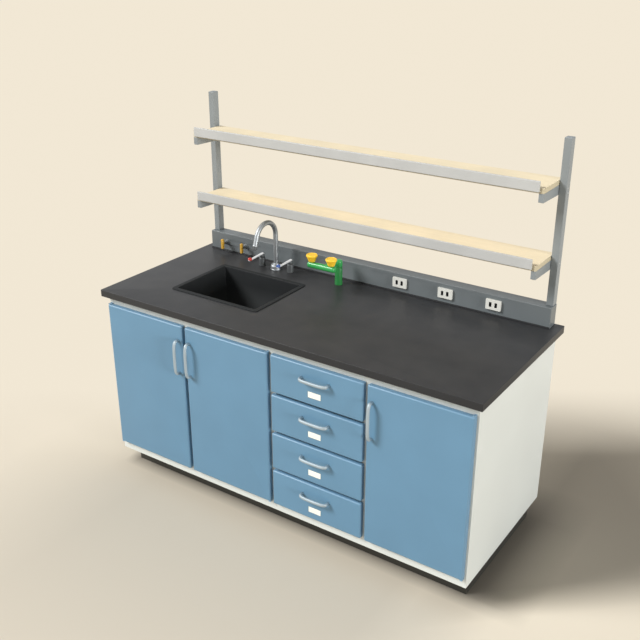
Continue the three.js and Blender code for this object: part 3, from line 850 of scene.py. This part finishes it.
@dataclass(frozen=True)
class Box:
    """Lowest and highest corner of a solid, in millimetres."""

    low: Array
    high: Array

    @classmethod
    def of(cls, node: str) -> "Box":
        """Measures a solid of the frame."""
        return cls(*(np.array(corner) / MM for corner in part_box(node)))

    @property
    def middle(self) -> Array:
        """Centre of the box."""
        return (self.low + self.high) / 2

    @property
    def half(self) -> Array:
        """Half of the box's sides."""
        return (self.high - self.low) / 2

    @property
    def foot(self) -> Plane:
        """Plane of the underside, with its origin at the centre."""
        return upright_plane(self.middle[0], self.middle[1], self.low[2])


@dataclass
class Cabinet:
    """Plinth, boards and face frame, whose solids keep their shape."""

    board_edge: float = 1.2
    plinth_edge: float = 1.5

    def build(self) -> None:
        """Dresses the boards."""
        dress("plinth_frame", BLACK_LAMINATE, self.plinth_edge)
        kinds = ("side_panel", "partition")
        panels = [f"{side.word}_{kind}" for kind in kinds for side in Side]
        for node in ("face_frame", *panels, "cabinet_floor", "back_panel"):
            dress(node, WHITE_BOARD, self.board_edge)


@dataclass
class BowPull:
    """A satin bow pull, its bar a little wider than deep and flared at both feet."""

    bar_half_depth: float = 5.2
    bar_half_width: float = 6.6
    foot_flare: float = 1.2
    foot_reach: float = 4.0
    foot_length: float = 4.0
    squareness: float = 4.0
    section: float = 2.4
    sides: int = 18
    bend_points: int = 181
    steps: int = 96

    def path(self, box: Box, axis: int) -> Array:
        """Superellipse |a|^q + |o|^q = 1 over the pull's length, with straight feet to the front.

        Args:
            box: The box of the pull's solid.
            axis: The axis along which the pull lies, 0 for X or 2 for Z.

        Returns:
            Evenly spaced points from one foot to the other.
        """
        half = box.half[axis] - self.bar_half_width
        foot = box.high[1] - self.foot_length
        reach = foot - box.low[1] - self.bar_half_depth
        turn = np.linspace(0, np.pi, self.bend_points)
        power = 2 / self.squareness
        along = -np.sign(np.cos(turn)) * np.abs(np.cos(turn)) ** power
        out = np.abs(np.sin(turn)) ** power
        points = np.tile(box.middle, (turn.size + 2, 1))
        points[1:-1, axis] += half * along
        points[1:-1, 1] = foot - reach * out
        points[[0, -1], axis] += [-half, half]
        points[[0, -1], 1] = box.high[1]
        return resampled(points, self.steps)

    def build(self, node: str, body: str, axis: int) -> None:
        """Makes the pull that stands for a solid.

        Args:
            node: The solid's name.
            body: The body that it moves with.
            axis: The axis along which it lies.
        """
        box = Box.of(node)
        path = self.path(box, axis)
        length = np.linalg.norm(np.diff(path, axis=0), axis=1).sum()
        distance = np.linspace(0, 1, self.steps) * length
        from_foot = np.minimum(distance, distance[-1] - distance)
        flare = self.foot_flare * np.exp(-((from_foot / self.foot_reach) ** 2))
        across = Z_AXIS if axis == 0 else X_AXIS
        depth, width = self.bar_half_depth + flare, self.bar_half_width + flare
        bar = swept(path, depth, width, across, self.section, self.sides)
        add_piece(f"{node}_bow", [bar], SATIN_NICKEL, body, [node])


@dataclass
class Front:
    """A laminated door or drawer front with rounded front edges."""

    edge_radius: float = 7.0
    corner: float = 6.0

    def build(self, node: str, body: str) -> Box:
        """Makes the front that stands for a solid.

        Args:
            node: The solid's name.
            body: The body that it moves with.

        Returns:
            The front's box.
        """
        box = Box.of(node)
        plane = facing_plane(box.middle[0], box.high[1], box.middle[2])
        profile = eased(2 * box.half[1], self.edge_radius)
        face = moulded((box.half[0], box.half[2]), self.corner, profile, plane)
        add_piece(f"{node}_panel", [face], BLUE_LAMINATE, body, [node])
        return box


@dataclass
class Doors:
    """The three doors with their pulls and pivots."""

    names: tuple[str, ...] = ("left_door", "middle_door", "right_door")

    def build(self) -> None:
        """Makes each door's front and pull, and dresses its pivot like the front."""
        for name in self.names:
            Front().build(name, name)
            BowPull().build(f"{name}_pull", name, 2)
            dress(f"{name}_pivot", BLUE_LAMINATE)


@dataclass
class DrawerStack:
    """The drawers with their pulls, label cards, boxes and runners."""

    count: int = 4
    card_half_width: float = 29.0
    card_half_height: float = 12.5
    card_drop: float = 118.0
    card_shift: float = -3.0
    card_corner: float = 1.0
    card_edge: float = 0.3
    card_thickness: float = 1.3
    holder_margin: float = 1.5
    holder_corner: float = 2.0
    holder_edge: float = 0.4
    holder_thickness: float = 0.8
    seat: float = 0.1
    box_edge: float = 1.0
    runner_edge: float = 0.6

    def build(self) -> None:
        """Makes every drawer and dresses the runners."""
        for index in range(1, self.count + 1):
            body = f"drawer_{index}"
            front = Front().build(f"{body}_front", body)
            BowPull().build(f"{body}_pull", body, 0)
            self.card(front, body)
            dress(f"{body}_box", DRAWER_BOARD, self.box_edge)
        for side in Side:
            dress(f"{side.word}_runners", ZINC, self.runner_edge)

    def card(self, front: Box, body: str) -> None:
        """Makes the blank label card in its shallow holder.

        Args:
            front: The drawer front's box.
            body: The drawer's body.
        """
        x, z = front.middle[0] + self.card_shift, front.high[2] - self.card_drop
        plane = facing_plane(x, front.low[1] + self.seat, z)
        half = np.array([self.card_half_width, self.card_half_height])
        border = eased(self.holder_thickness, self.holder_edge, self.seat)
        holder = moulded(tuple(half + self.holder_margin), self.holder_corner, border, plane)
        edge = eased(self.card_thickness, self.card_edge, self.seat)
        card = moulded(tuple(half), self.card_corner, edge, plane, least=0.4)
        add_piece(f"{body}_card_holder", [holder], SATIN_NICKEL, body)
        add_piece(f"{body}_card", [card], CARD, body)


@dataclass
class Worktop:
    """The resin slab with eased edges and the cut-out for the bowl."""

    edge: float = 1.0
    corner: float = 3.0
    cutout_margin: float = 13.5
    cutout_corner: float = 21.5

    def build(self) -> None:
        """Carries the edge's profile round the slab and joins it to the outline of the cut-out.

        The outline of the cut-out has as many points as that of the slab, so each ring of the
        grid meets the next corner by corner: cut-out below, edge, cut-out above and back.
        """
        slab, bowl = Box.of("worktop"), Box.of("sink_basin")
        thickness = 2 * slab.half[2]
        profile = eased(thickness, self.edge, self.edge)
        around = moulded(tuple(slab.half[:2]), self.corner, profile, slab.foot)
        opening = tuple(bowl.half[:2] - self.cutout_margin)
        middle = upright_plane(bowl.middle[0], bowl.middle[1], slab.low[2])
        hole = moulded(opening, self.cutout_corner, np.array([(0, 0), (0, thickness)]), middle)
        rings = np.concatenate([hole[:1], around, hole[1:]])
        add_piece("worktop_slab", [rings], EPOXY_RESIN, ROOT, ["worktop"], looped=True)


@dataclass
class Sink:
    """The drop-in bowl, its strainer and the trap below it."""

    rim_width: float = 21.0
    rim_height: float = 3.0
    rim_corner: float = 15.0
    inner_corner: float = 5.0
    rim_gap: float = 0.2
    wall: float = 6.0
    taper: float = 4.0
    floor_reach: tuple[float, float] = (90.0, 95.0)
    outer_round: float = 5.0
    inner_round: float = 3.0
    hole_radius: float = 3.2
    hole_circle: float = 17.0
    holes: int = 10
    waste_inset: float = 45.0
    outlet_rise: float = 82.0
    outlet_radius: float = 18.0
    nut_span: tuple[float, float] = (46.0, 66.0)
    nut_step: float = 5.0
    flange_length: float = 10.0
    flange_step: float = 8.0

    def build(self) -> None:
        """Makes the bowl, strainer and trap."""
        self.bowl()
        waste = Box.of("sink_waste")
        x, y = waste.middle[0], waste.low[1] + self.waste_inset
        self.strainer(upright_plane(x, y, waste.high[2]))
        self.trap(upright_plane(x, y, waste.low[2]), waste.high[1])

    def bowl(self) -> None:
        """Carries the section of the wall and rim round the bowl's outline."""
        box = Box.of("sink_basin")
        height = box.high[2] - box.low[2]
        rim, wall, under = self.rim_width, self.wall, height - self.rim_height
        below, within = self.floor_reach
        outer = [(below, 0), (rim - wall, 0), (rim - wall, under), (0, under)]
        edge = [(0, under + self.rim_gap), (0, height), (rim, height)]
        inner = [*edge, (rim + self.taper, wall), (within, wall)]
        section = np.vstack([softened(outer, self.outer_round), softened(inner, self.inner_round, 6)])
        bowl = moulded(tuple(box.half[:2]), self.rim_corner, section, box.foot, self.inner_corner)
        add_piece("sink_bowl", [bowl], SINK_RESIN, ROOT, ["sink_basin"])

    def strainer(self, seat: Plane) -> None:
        """Turns the dished strainer and rings it with dark discs, painted shade in its holes.

        Args:
            seat: Plane of the strainer's rim, with its origin at the centre.
        """
        dish = [(38, -3.2), (40, -3.0), (40, -0.6), (36, 0), (29, -0.4), (25, -1.6), (6, -1.8)]
        plate = turned(softened(dish, 1.5), seat)
        add_piece("sink_strainer", [plate], CHROME, ROOT)
        angle = 2 * np.pi * np.arange(self.holes) / self.holes
        ring = self.hole_circle * np.stack([np.cos(angle), np.sin(angle)], axis=1)
        disc = [(self.hole_radius, -2.4), (self.hole_radius, -1.55), (1.0, -1.5)]
        x, y, top = seat.origin
        spots = [*ring, (0, 0)]
        holes = [turned(disc, upright_plane(x + du, y + dv, top), 12) for du, dv in spots]
        add_piece("sink_strainer_hole_shade", holes, HOLE_SHADE, ROOT)

    def trap(self, foot: Plane, back: float) -> None:
        """Turns the tailpipe, nuts and bottle, and sweeps the outlet to the back panel.

        Args:
            foot: Plane of the bottle's underside, with its origin at the centre.
            back: Where the outlet ends, in millimetres along Y.
        """
        profile = [
            (8, 0), (39, 0), (45, 8), (45, 24), (41, 27), (41, 96), (45, 99), (45, 110),
            (27, 112), (27, 128), (22, 130), (22, 186), (30, 188), (30, 200), (10, 200),
        ]
        bottle = turned(softened(profile, 2.0), foot)
        x, y, z = foot.origin
        run = np.linspace(y, back, 24)
        path = np.stack([x + 0 * run, run, z + self.outlet_rise + 0 * run], axis=1)
        nut = (run > y + self.nut_span[0]) & (run < y + self.nut_span[1])
        flange = run > back - self.flange_length
        radius = self.outlet_radius + self.nut_step * nut + self.flange_step * flange
        outlet = swept(path, radius, radius, X_AXIS, sides=28)
        parts = [bottle, outlet]
        add_piece("sink_trap", parts, WASTE_PLASTIC, ROOT, ["sink_waste"])


@dataclass
class ServiceRail:
    """The rail with its socket plates and gas taps."""

    rail_edge: float = 3.5
    plate_edge: float = 1.2
    sockets: int = 3
    slot_half_width: float = 5.4
    slot_half_height: float = 9.9
    slot_depth: float = 5.95
    slot_offset: float = 12.0
    slot_corner: float = 0.8
    liner: float = 0.35
    bar_thickness: float = 11.0
    bar_corner: float = 6.5
    bar_edge: float = 3.5
    bar_back_edge: float = 2.0
    boss_length: float = 8.0
    bead_radius: float = 6.0

    def build(self) -> None:
        """Dresses the rail and plates and makes the gas taps."""
        dress("service_rail", RAIL_COAT, self.rail_edge, 3)
        self.paint_rail_foot_shade()
        for index in range(1, self.sockets + 1):
            self.socket(f"socket_plate_{index}")
        for side in Side:
            self.gas_tap(side.word)

    def paint_rail_foot_shade(self) -> None:
        """Carries a dark hollow fillet along the rail's foot, painted contact shade.

        Its section is (r cos t - r, r - r sin t) for t up to 90 degrees.
        """
        rail, slab = Box.of("service_rail"), Box.of("worktop")
        turn = np.linspace(0, np.pi / 2, 7)
        out = np.append(0, self.bead_radius * (np.cos(turn) - 1))
        up = np.append(0, self.bead_radius * (1 - np.sin(turn)))
        ends = np.array([[rail.low[0]], [rail.high[0]]])
        plane = Plane((0, rail.low[1] + self.boss_length, slab.high[2]), Y_AXIS, Z_AXIS)
        bead = plane.place(out + 0 * ends, up + 0 * ends, ends + 0 * out)
        add_piece("rail_foot_shade_bead", [bead], CONTACT_SHADE_BEAD, ROOT)

    def socket(self, node: str) -> None:
        """Dresses a plate and lines its slots with dark open-fronted cups, painted shade inside the
        slots.

        Args:
            node: The plate's name.
        """
        dress(node, WHITE_PLASTIC, self.plate_edge)
        box = Box.of(node)
        mouth = self.slot_depth - self.liner
        cup = [(0, 0), (0, mouth), (self.liner, mouth), (self.liner, self.liner)]
        half = (self.slot_half_width, self.slot_half_height)
        shade_liners = []
        for side in Side:
            x = box.middle[0] + side.value * self.slot_offset
            plane = facing_plane(x, box.low[1] + self.slot_depth, box.middle[2])
            shade_liners.append(moulded(half, self.slot_corner, np.array(cup), plane, least=0.4))
        add_piece(f"{node}_contacts", shade_liners, HOLE_SHADE, ROOT)

    def gas_tap(self, side: str) -> None:
        """Makes a bar lever and its spindle.

        Args:
            side: Which tap, left or right.
        """
        node = f"{side}_gas_lever"
        box = Box.of(node)
        plane = facing_plane(box.middle[0], box.low[1] + self.bar_thickness, box.middle[2])
        profile = eased(self.bar_thickness, self.bar_edge, self.bar_back_edge)
        bar = moulded((box.half[0], box.half[2]), self.bar_corner, profile, plane)
        add_piece(f"{side}_gas_bar", [bar], GAS_YELLOW, node, [node])
        stem = softened([(4, 0), (8, 0), (8, 4), (5.2, 6), (5.2, 24.6), (3, 24.6)], 1.0)
        spindle = turned(stem, facing_plane(box.middle[0], box.high[1], box.middle[2]), 28)
        add_piece(f"{side}_gas_spindle", [spindle], DARK_METAL, node)


@dataclass
class ReagentShelf:
    """Uprights, boards, lips and brackets of the two tiers."""

    tube_edge: float = 3.0
    board_edge: float = 1.5
    lip_edge: float = 2.0
    bracket_edge: float = 1.5
    screw_rise: float = 9.0

    def build(self) -> None:
        """Dresses the solids and adds the bracket screws."""
        for side in Side:
            dress(f"{side.word}_upright", GREY_COAT, self.tube_edge, 3)
        for level in ("lower", "upper"):
            dress(f"{level}_shelf_board", SHELF_LAMINATE, self.board_edge)
            dress(f"{level}_shelf_lip", LIP_COAT, self.lip_edge)
            for side in Side:
                name = f"{level}_{side.word}_bracket"
                dress(name, GREY_COAT, self.bracket_edge)
                self.screws(name, side)

    def screws(self, bracket: str, side: Side) -> None:
        """Sets two domed screw heads in the outer face of the upright beside a bracket.

        Args:
            bracket: The bracket's name.
            side: Its side of the bench.
        """
        box = Box.of(bracket)
        post = Box.of(f"{side.word}_upright")
        x = post.high[0] if side is Side.RIGHT else post.low[0]
        dome = [(3.6, -0.2), (3.6, 0.5), (3.0, 1.1), (1.9, 1.5), (0.6, 1.6)]
        heads = []
        for rise in (-self.screw_rise, self.screw_rise):
            centre = (x, post.middle[1], box.middle[2] + rise)
            heads.append(turned(dome, Plane(centre, (0, side.value, 0), Z_AXIS), 16))
        add_piece(f"{bracket}_screws", heads, ZINC, ROOT)


@dataclass
class SinkTap:
    """The swan-neck tap and its two lever valves."""

    spout_radius: float = 11.0
    rise: float = 167.0
    bend: float = 70.0
    sweep: float = 160.0
    drop: float = 60.0
    nozzle: float = 24.0
    ring_radius: float = 11.9
    tip_places: tuple[int, ...] = (0, 6, 8, 10)
    tip_radii: tuple[float, ...] = (9.6, 9.0, 8.6, 7.6)
    lever_half_width: float = 6.2
    lever_half_height: float = 3.2
    lever_rise: float = 5.0
    lever_taper: tuple[float, float] = (1.15, 0.95)
    lever_end: tuple[float, float] = (0.05, 0.3)
    hub_inset: float = 11.0
    cap_inset: float = 10.0

    def build(self) -> None:
        """Makes the base, spout, nozzle, valves and levers."""
        self.base()
        self.spout()
        for name, cap in (("hot", RED_CAP), ("cold", BLUE_CAP)):
            self.valve(name)
            self.lever(name, cap)

    def base(self) -> None:
        """Turns the drum-shaped base with its collar."""
        profile = [
            (10, 0), (26.5, 0), (26.5, 2.5), (25, 4), (25, 19),
            (21, 23), (16, 25), (15.2, 30), (11.3, 30), (11.3, 20),
        ]
        drum = turned(softened(profile, 1.6), Box.of("tap_base").foot)
        add_piece("tap_drum", [drum], CHROME, ROOT, ["tap_base"])

    def line(self) -> tuple[Array, Array]:
        """Centre line of the spout: a riser, an arc over towards the bowl and a straight end.

        Returns:
            The line up to the nozzle and the nozzle's own line.
        """
        x, y, z = Box.of("tap_base").foot.origin
        foot = Box.of("tap_spout").low[2] - z
        turn = np.radians(np.linspace(0, self.sweep, 90))
        out = self.bend * (np.cos(turn) - 1)
        arc = np.stack([out, self.rise + self.bend * np.sin(turn)], axis=1)
        heading = np.array([-math.sin(turn[-1]), math.cos(turn[-1])])
        bare = arc[-1] + heading * (self.drop - self.nozzle)
        tip = arc[-1] + heading * self.drop
        flat = np.vstack([[(0, foot)], arc, [bare]])
        lines = (resampled(flat, 96), resampled(np.stack([bare, tip]), 17))
        return tuple(np.array([x, y, z]) + line @ np.array([Y_AXIS, Z_AXIS]) for line in lines)

    def spout(self) -> None:
        """Sweeps the spout and its nozzle, a ring over a darker tip."""
        neck, nozzle = self.line()
        radius = np.full(len(neck), self.spout_radius)
        tube = swept(neck, radius, radius, X_AXIS, sides=28)
        add_piece("tap_swan_neck", [tube], CHROME, "spout", ["tap_spout"])
        radius = self.ring_radius * closing(7, 0.2, 0.9)
        ring = swept(nozzle[:7], radius, radius, X_AXIS, sides=28)
        add_piece("tap_nozzle_ring", [ring], CHROME, "spout")
        radius = np.interp(np.arange(11), self.tip_places, self.tip_radii)
        tip = swept(nozzle[6:], radius, radius, X_AXIS, sides=28)
        add_piece("tap_nozzle_tip", [tip], DARK_METAL, "spout")

    def valve(self, name: str) -> None:
        """Turns a valve body.

        Args:
            name: hot or cold.
        """
        node = f"{name}_valve"
        profile = softened([(6, 0), (15, 0), (15, 38), (13, 40), (4, 40)], 1.2)
        body = turned(profile, Box.of(node).foot)
        add_piece(f"{node}_body", [body], DULL_CHROME, ROOT, [node])

    def lever(self, name: str, cap: Finish) -> None:
        """Sweeps the bar lever on its hub and sets the index cap near its tip.

        Args:
            name: hot or cold, which is also the start of the body's name.
            cap: Finish of the index cap.
        """
        body = f"{name}_lever"
        box = Box.of(body)
        x, top = box.middle[0], box.high[2]
        run = np.linspace(box.high[1], box.low[1], 40)
        level = top - self.lever_half_height + self.lever_rise * np.linspace(1, 0, run.size)
        path = np.stack([np.full(run.size, x), run, level], axis=1)
        taper = np.linspace(*self.lever_taper, run.size) * closing(run.size, *self.lever_end)
        height, width = self.lever_half_height * taper, self.lever_half_width * taper
        bar = swept(path, height, width, X_AXIS, 3.0, 24)
        profile = softened([(4, 0), (10.5, 0), (11, 10), (9, 15.5), (3, 15.5)], 1.2)
        hub = turned(profile, upright_plane(x, box.high[1] - self.hub_inset, box.low[2]))
        add_piece(f"{name}_lever_bar", [bar], BRIGHT_METAL, body, [body])
        add_piece(f"{name}_lever_hub", [hub], DULL_CHROME, body)
        dome = [(7.5, -4), (9, -3), (9.6, 1), (9.2, 4), (7.6, 6.4), (4.6, 8), (1.2, 8.5)]
        button = turned(dome, upright_plane(x, box.low[1] + self.cap_inset, top), 32)
        add_piece(f"{name}_index_cap", [button], cap, body)


@dataclass
class Eyewash:
    """The bench eyewash: a post, a swinging yoke and two spray heads."""

    reach: float = 134.0
    rise: float = 23.0
    bow: float = 0.12
    arm_level: float = 15.0
    arm_radius: float = 9.0
    bar_radius: float = 13.5
    bar_end: tuple[float, float] = (0.06, 0.4)
    post_radius: float = 16.5

    def build(self) -> None:
        """Makes the post, yoke and heads."""
        self.post()
        self.yoke()
        for side in Side:
            self.head(side)

    def post(self) -> None:
        """Turns the plain post in the darker green, a painted shade copy of the arm's coat."""
        box = Box.of("eyewash_post")
        radius, height = self.post_radius, 2 * box.half[2]
        profile = softened([(8, 0), (radius, 0), (radius, height), (6, height)], 1.2)
        pillar = turned(profile, box.foot)
        add_piece("eyewash_pillar", [pillar], SHADED_GREEN_COAT, ROOT, ["eyewash_post"])

    def yoke(self) -> None:
        """Turns the hub, and sweeps the rising arm and the crossbar with rounded ends."""
        post, box = Box.of("eyewash_post"), Box.of("eyewash_yoke")
        x, y, foot = post.middle[0], post.middle[1], box.low[2]
        radius = self.post_radius
        profile = softened([(6, 0), (radius, 0), (radius, 24), (12, 30), (2, 30)], 5.0)
        hub = turned(profile, upright_plane(x, y, foot))
        share = np.linspace(0, 1, 24)
        level = foot + self.arm_level
        climb = self.rise * (share + self.bow * np.sin(np.pi * share))
        arm_path = np.stack([x + 0 * share, y - self.reach * share, level + climb], axis=1)
        thick = np.full(share.size, self.arm_radius)
        arm = swept(arm_path, thick, thick, X_AXIS, sides=24)
        along = np.linspace(box.low[0], box.high[0], 48)
        flat = 0 * along
        bar_path = np.stack([along, y - self.reach + flat, level + self.rise + flat], axis=1)
        bar_size = self.bar_radius * closing(along.size, *self.bar_end)
        bar = swept(bar_path, bar_size, bar_size, Y_AXIS, 2.3, 24)
        seat = [(9, -16), (10, -15), (10, -3), (12, -0.4), (8, -0.3)]
        cups = [Box.of(f"eyewash_{side.word}_cup") for side in Side]
        parts = [hub, arm, bar, *(turned(seat, cup.foot, 28) for cup in cups)]
        add_piece("eyewash_arm", parts, GREEN_COAT, "eyewash", ["eyewash_yoke"])

    def head(self, side: Side) -> None:
        """Turns a spray head with a rounded rim and a shallow cover.

        Args:
            side: Which head.
        """
        name = f"eyewash_{side.word}"
        profile = [
            (5, 0), (14, 0), (16, 4), (22, 21), (24.5, 23),
            (24.5, 29), (22.7, 31), (20, 31), (19, 29.6), (4, 30.6),
        ]
        node = f"{name}_cup"
        cup = turned(softened(profile, 1.4), Box.of(node).foot)
        add_piece(f"{name}_head", [cup], YELLOW_PLASTIC, "eyewash", [node])


@dataclass
class Studio:
    """Camera, lamps, surround and a floor with painted shade."""

    camera_place: Triple = (1.9088, -2.8317, 2.3634)
    camera_tilt: float = 65.97
    camera_turn: float = 34.106
    camera_angle: float = 39.24
    key_place: Triple = (-3, -2, 5)
    key_direction: Triple = (0.601, 0.541, -0.588)
    key_strength: float = 3.8
    key_size: float = 22.0
    fill_place: Triple = (4, -2, 2)
    fill_direction: Triple = (-0.972, 0.2, -0.11)
    fill_strength: float = 2.3
    fill_size: float = 16.0
    surround: float = 0.32
    surround_tint: Triple = (1.0, 0.98, 0.95)
    shine: Triple = linear(228, 228, 228)
    backdrop: Triple = linear(242, 232, 213)
    floor_color: Triple = linear(222, 212, 194)
    floor_roughness: float = 0.9
    fade_start: float = 0.28
    fade_end: float = 0.95
    fade_most: float = 0.95
    floor_half: float = 60.0
    # Painted contact shade round the plinth's foot.
    contact_shade_depth: float = 0.58
    contact_shade_reach: tuple[tuple[float, float], ...] = ((0.06, 0.26), (0.07, 0.26))
    # Broad painted shade in front of and to the left of the bench.
    front_shade_depth: float = 0.28
    front_shade_ramps: tuple[Ramp, ...] = (
        (1, 0, -1.4, -0.7),
        (1, 0, 1.0, 0.6),
        (0, 1, -1.98, -0.35),
        (0, 1, 1.3, 0.5),
    )
    # Painted shadow that deepens the key lamp's shadow to the right-back of the bench.
    painted_shadow_depth: float = 0.33
    painted_shadow_ramps: tuple[Ramp, ...] = (
        (-0.9, 1, -1.24, -1.02),
        (-0.9, 1, 0.42, 0.06),
        (1, 0, 0.7, 0.9),
        (0.743, 0.669, 1.9, 1.35),
    )

    def build(self) -> None:
        """Sets up the view and the light."""
        self.camera()
        self.lamps()
        self.world()
        self.floor()
        bpy.context.scene.view_settings.view_transform = "Standard"

    def camera(self) -> None:
        """Places the camera at the photograph's viewpoint."""
        data = bpy.data.cameras.new("view_camera")
        data.sensor_fit = "HORIZONTAL"
        data.angle = math.radians(self.camera_angle)
        camera = bpy.data.objects.new("view_camera", data)
        camera.location = self.camera_place
        camera.rotation_euler = (math.radians(self.camera_tilt), 0, math.radians(self.camera_turn))
        bpy.context.scene.collection.objects.link(camera)
        bpy.context.scene.camera = camera

    def lamp(
        self, name: str, energy: float, size: float, place: Triple, direction: Triple
    ) -> None:
        """Adds a soft sun lamp.

        Args:
            name: The lamp's name.
            energy: Its strength.
            size: The angle that it fills, in degrees.
            place: Where it stands, in metres.
            direction: The way it shines.
        """
        data = bpy.data.lights.new(name, "SUN")
        data.energy = energy
        data.angle = math.radians(size)
        lamp = bpy.data.objects.new(name, data)
        lamp.location = place
        x, y, z = direction
        tilt, turn = math.atan2(math.hypot(x, y), -z), math.atan2(y, x) - math.pi / 2
        lamp.rotation_euler = (tilt, 0, turn)
        bpy.context.scene.collection.objects.link(lamp)

    def lamps(self) -> None:
        """Adds the soft key from the user's left and the low fill from the right."""
        key, fill = (self.key_place, self.key_direction), (self.fill_place, self.fill_direction)
        self.lamp("key_lamp", self.key_strength, self.key_size, *key)
        self.lamp("fill_lamp", self.fill_strength, self.fill_size, *fill)

    def world(self) -> None:
        """Sets a plain surround that gloss sees bright and the camera sees as the background."""
        world = bpy.data.worlds.new("surround")
        world.use_nodes = True
        graph = Graph(world.node_tree)
        path = graph.add("ShaderNodeLightPath").outputs
        seen = graph.math("MAXIMUM", path["Is Camera Ray"], path["Is Transmission Ray"])
        lights = ((self.surround_tint, self.surround), (self.shine, 1.0), (self.backdrop, 1.0))
        soft, shine, pale = (
            graph.add("ShaderNodeBackground", Color=opaque(color), Strength=strength).outputs[0]
            for color, strength in lights
        )
        lit = graph.add("ShaderNodeMixShader", i0=path["Is Glossy Ray"], i1=soft, i2=shine)
        mixed = graph.add("ShaderNodeMixShader", i0=seen, i1=lit.outputs[0], i2=pale)
        graph.add("ShaderNodeOutputWorld", Surface=mixed.outputs[0])
        bpy.context.scene.world = world

    def contact_shade_ramps(self) -> list[Ramp]:
        """Works out the ramps of the painted contact shade, which fall off beyond each side of the
        plinth.

        Returns:
            Two ramps along X and two along Y.
        """
        box = Box.of("plinth_frame")
        ramps = []
        for axis, (before, after) in enumerate(self.contact_shade_reach):
            low, high = box.low[axis] * MM, box.high[axis] * MM
            x, y = 1 - axis, axis
            ramps += [(x, y, low - before, low), (x, y, high + after, high)]
        return ramps

    def shade(self, graph: Graph, split: object, depth: float, ramps: Sequence[Ramp]) -> object:
        """Painted soft shade on the floor: a product of ramps.

        A ramp (a, b, start, end) rises from 0 to 1 as a * X + b * Y goes from start to end.

        Args:
            graph: The floor's graph.
            split: The outputs with the coordinates of the floor point.
            depth: Share of light that the full shade keeps off the floor.
            ramps: The ramps, in metres.

        Returns:
            The socket with the share of light kept off.
        """
        shade = depth
        for a, b, start, end in ramps:
            place = graph.weighted(split["X"], a, split["Y"], b)
            shade = graph.math("MULTIPLY", graph.spread(place, 0.0, 1.0, start, end), shade)
        return shade

    def floor(self) -> None:
        """Lays the pale floor with painted shade about the bench, which the camera sees fade out far
        away.
        """
        half = self.floor_half
        corners = [(-half, -half, 0), (half, -half, 0), (half, half, 0), (-half, half, 0)]
        mesh = bpy.data.meshes.new("floor")
        mesh.from_pydata(corners, [], [(0, 1, 2, 3)])
        material = bpy.data.materials.new("pale_floor")
        material.use_nodes = True
        graph = Graph(material.node_tree)
        split = graph.split(object_coordinate(graph))
        color = opaque(self.floor_color)
        shades = (
            (self.contact_shade_depth, self.contact_shade_ramps()),
            (self.front_shade_depth, self.front_shade_ramps),
            (self.painted_shadow_depth, self.painted_shadow_ramps),
        )
        for depth, ramps in shades:
            color = graph.mix(self.shade(graph, split, depth, ramps), color, opaque(BLACK))
        roughness = self.floor_roughness
        shader = graph.add("ShaderNodeBsdfPrincipled", Base_Color=color, Roughness=roughness)
        glow = graph.add("ShaderNodeEmission", Color=opaque(self.backdrop), Strength=1.0)
        turn = math.radians(self.camera_turn)
        away = graph.weighted(split["X"], -math.sin(turn), split["Y"], math.cos(turn))
        fade = graph.spread(away, 0.0, self.fade_most, self.fade_start, self.fade_end)
        path = graph.add("ShaderNodeLightPath").outputs
        seen = graph.math("MULTIPLY", fade, path["Is Camera Ray"])
        mixed = graph.add("ShaderNodeMixShader", i0=seen, i1=shader.outputs[0], i2=glow.outputs[0])
        graph.add("ShaderNodeOutputMaterial", Surface=mixed.outputs[0])
        mesh.materials.append(material)
        floor = bpy.data.objects.new("floor", mesh)
        bpy.context.scene.collection.objects.link(floor)


def main() -> None:
    """Builds the studio and each sub-assembly in order."""
    logging.basicConfig(level=logging.INFO, format="%(message)s")
    Studio().build()
    below = (Cabinet, Doors, DrawerStack, Worktop, Sink)
    above = (ServiceRail, ReagentShelf, SinkTap, Eyewash)
    for assembly in below + above:
        LOG.info("building %s", assembly.__name__)
        assembly().build()


if __name__ == "__main__":
    main()
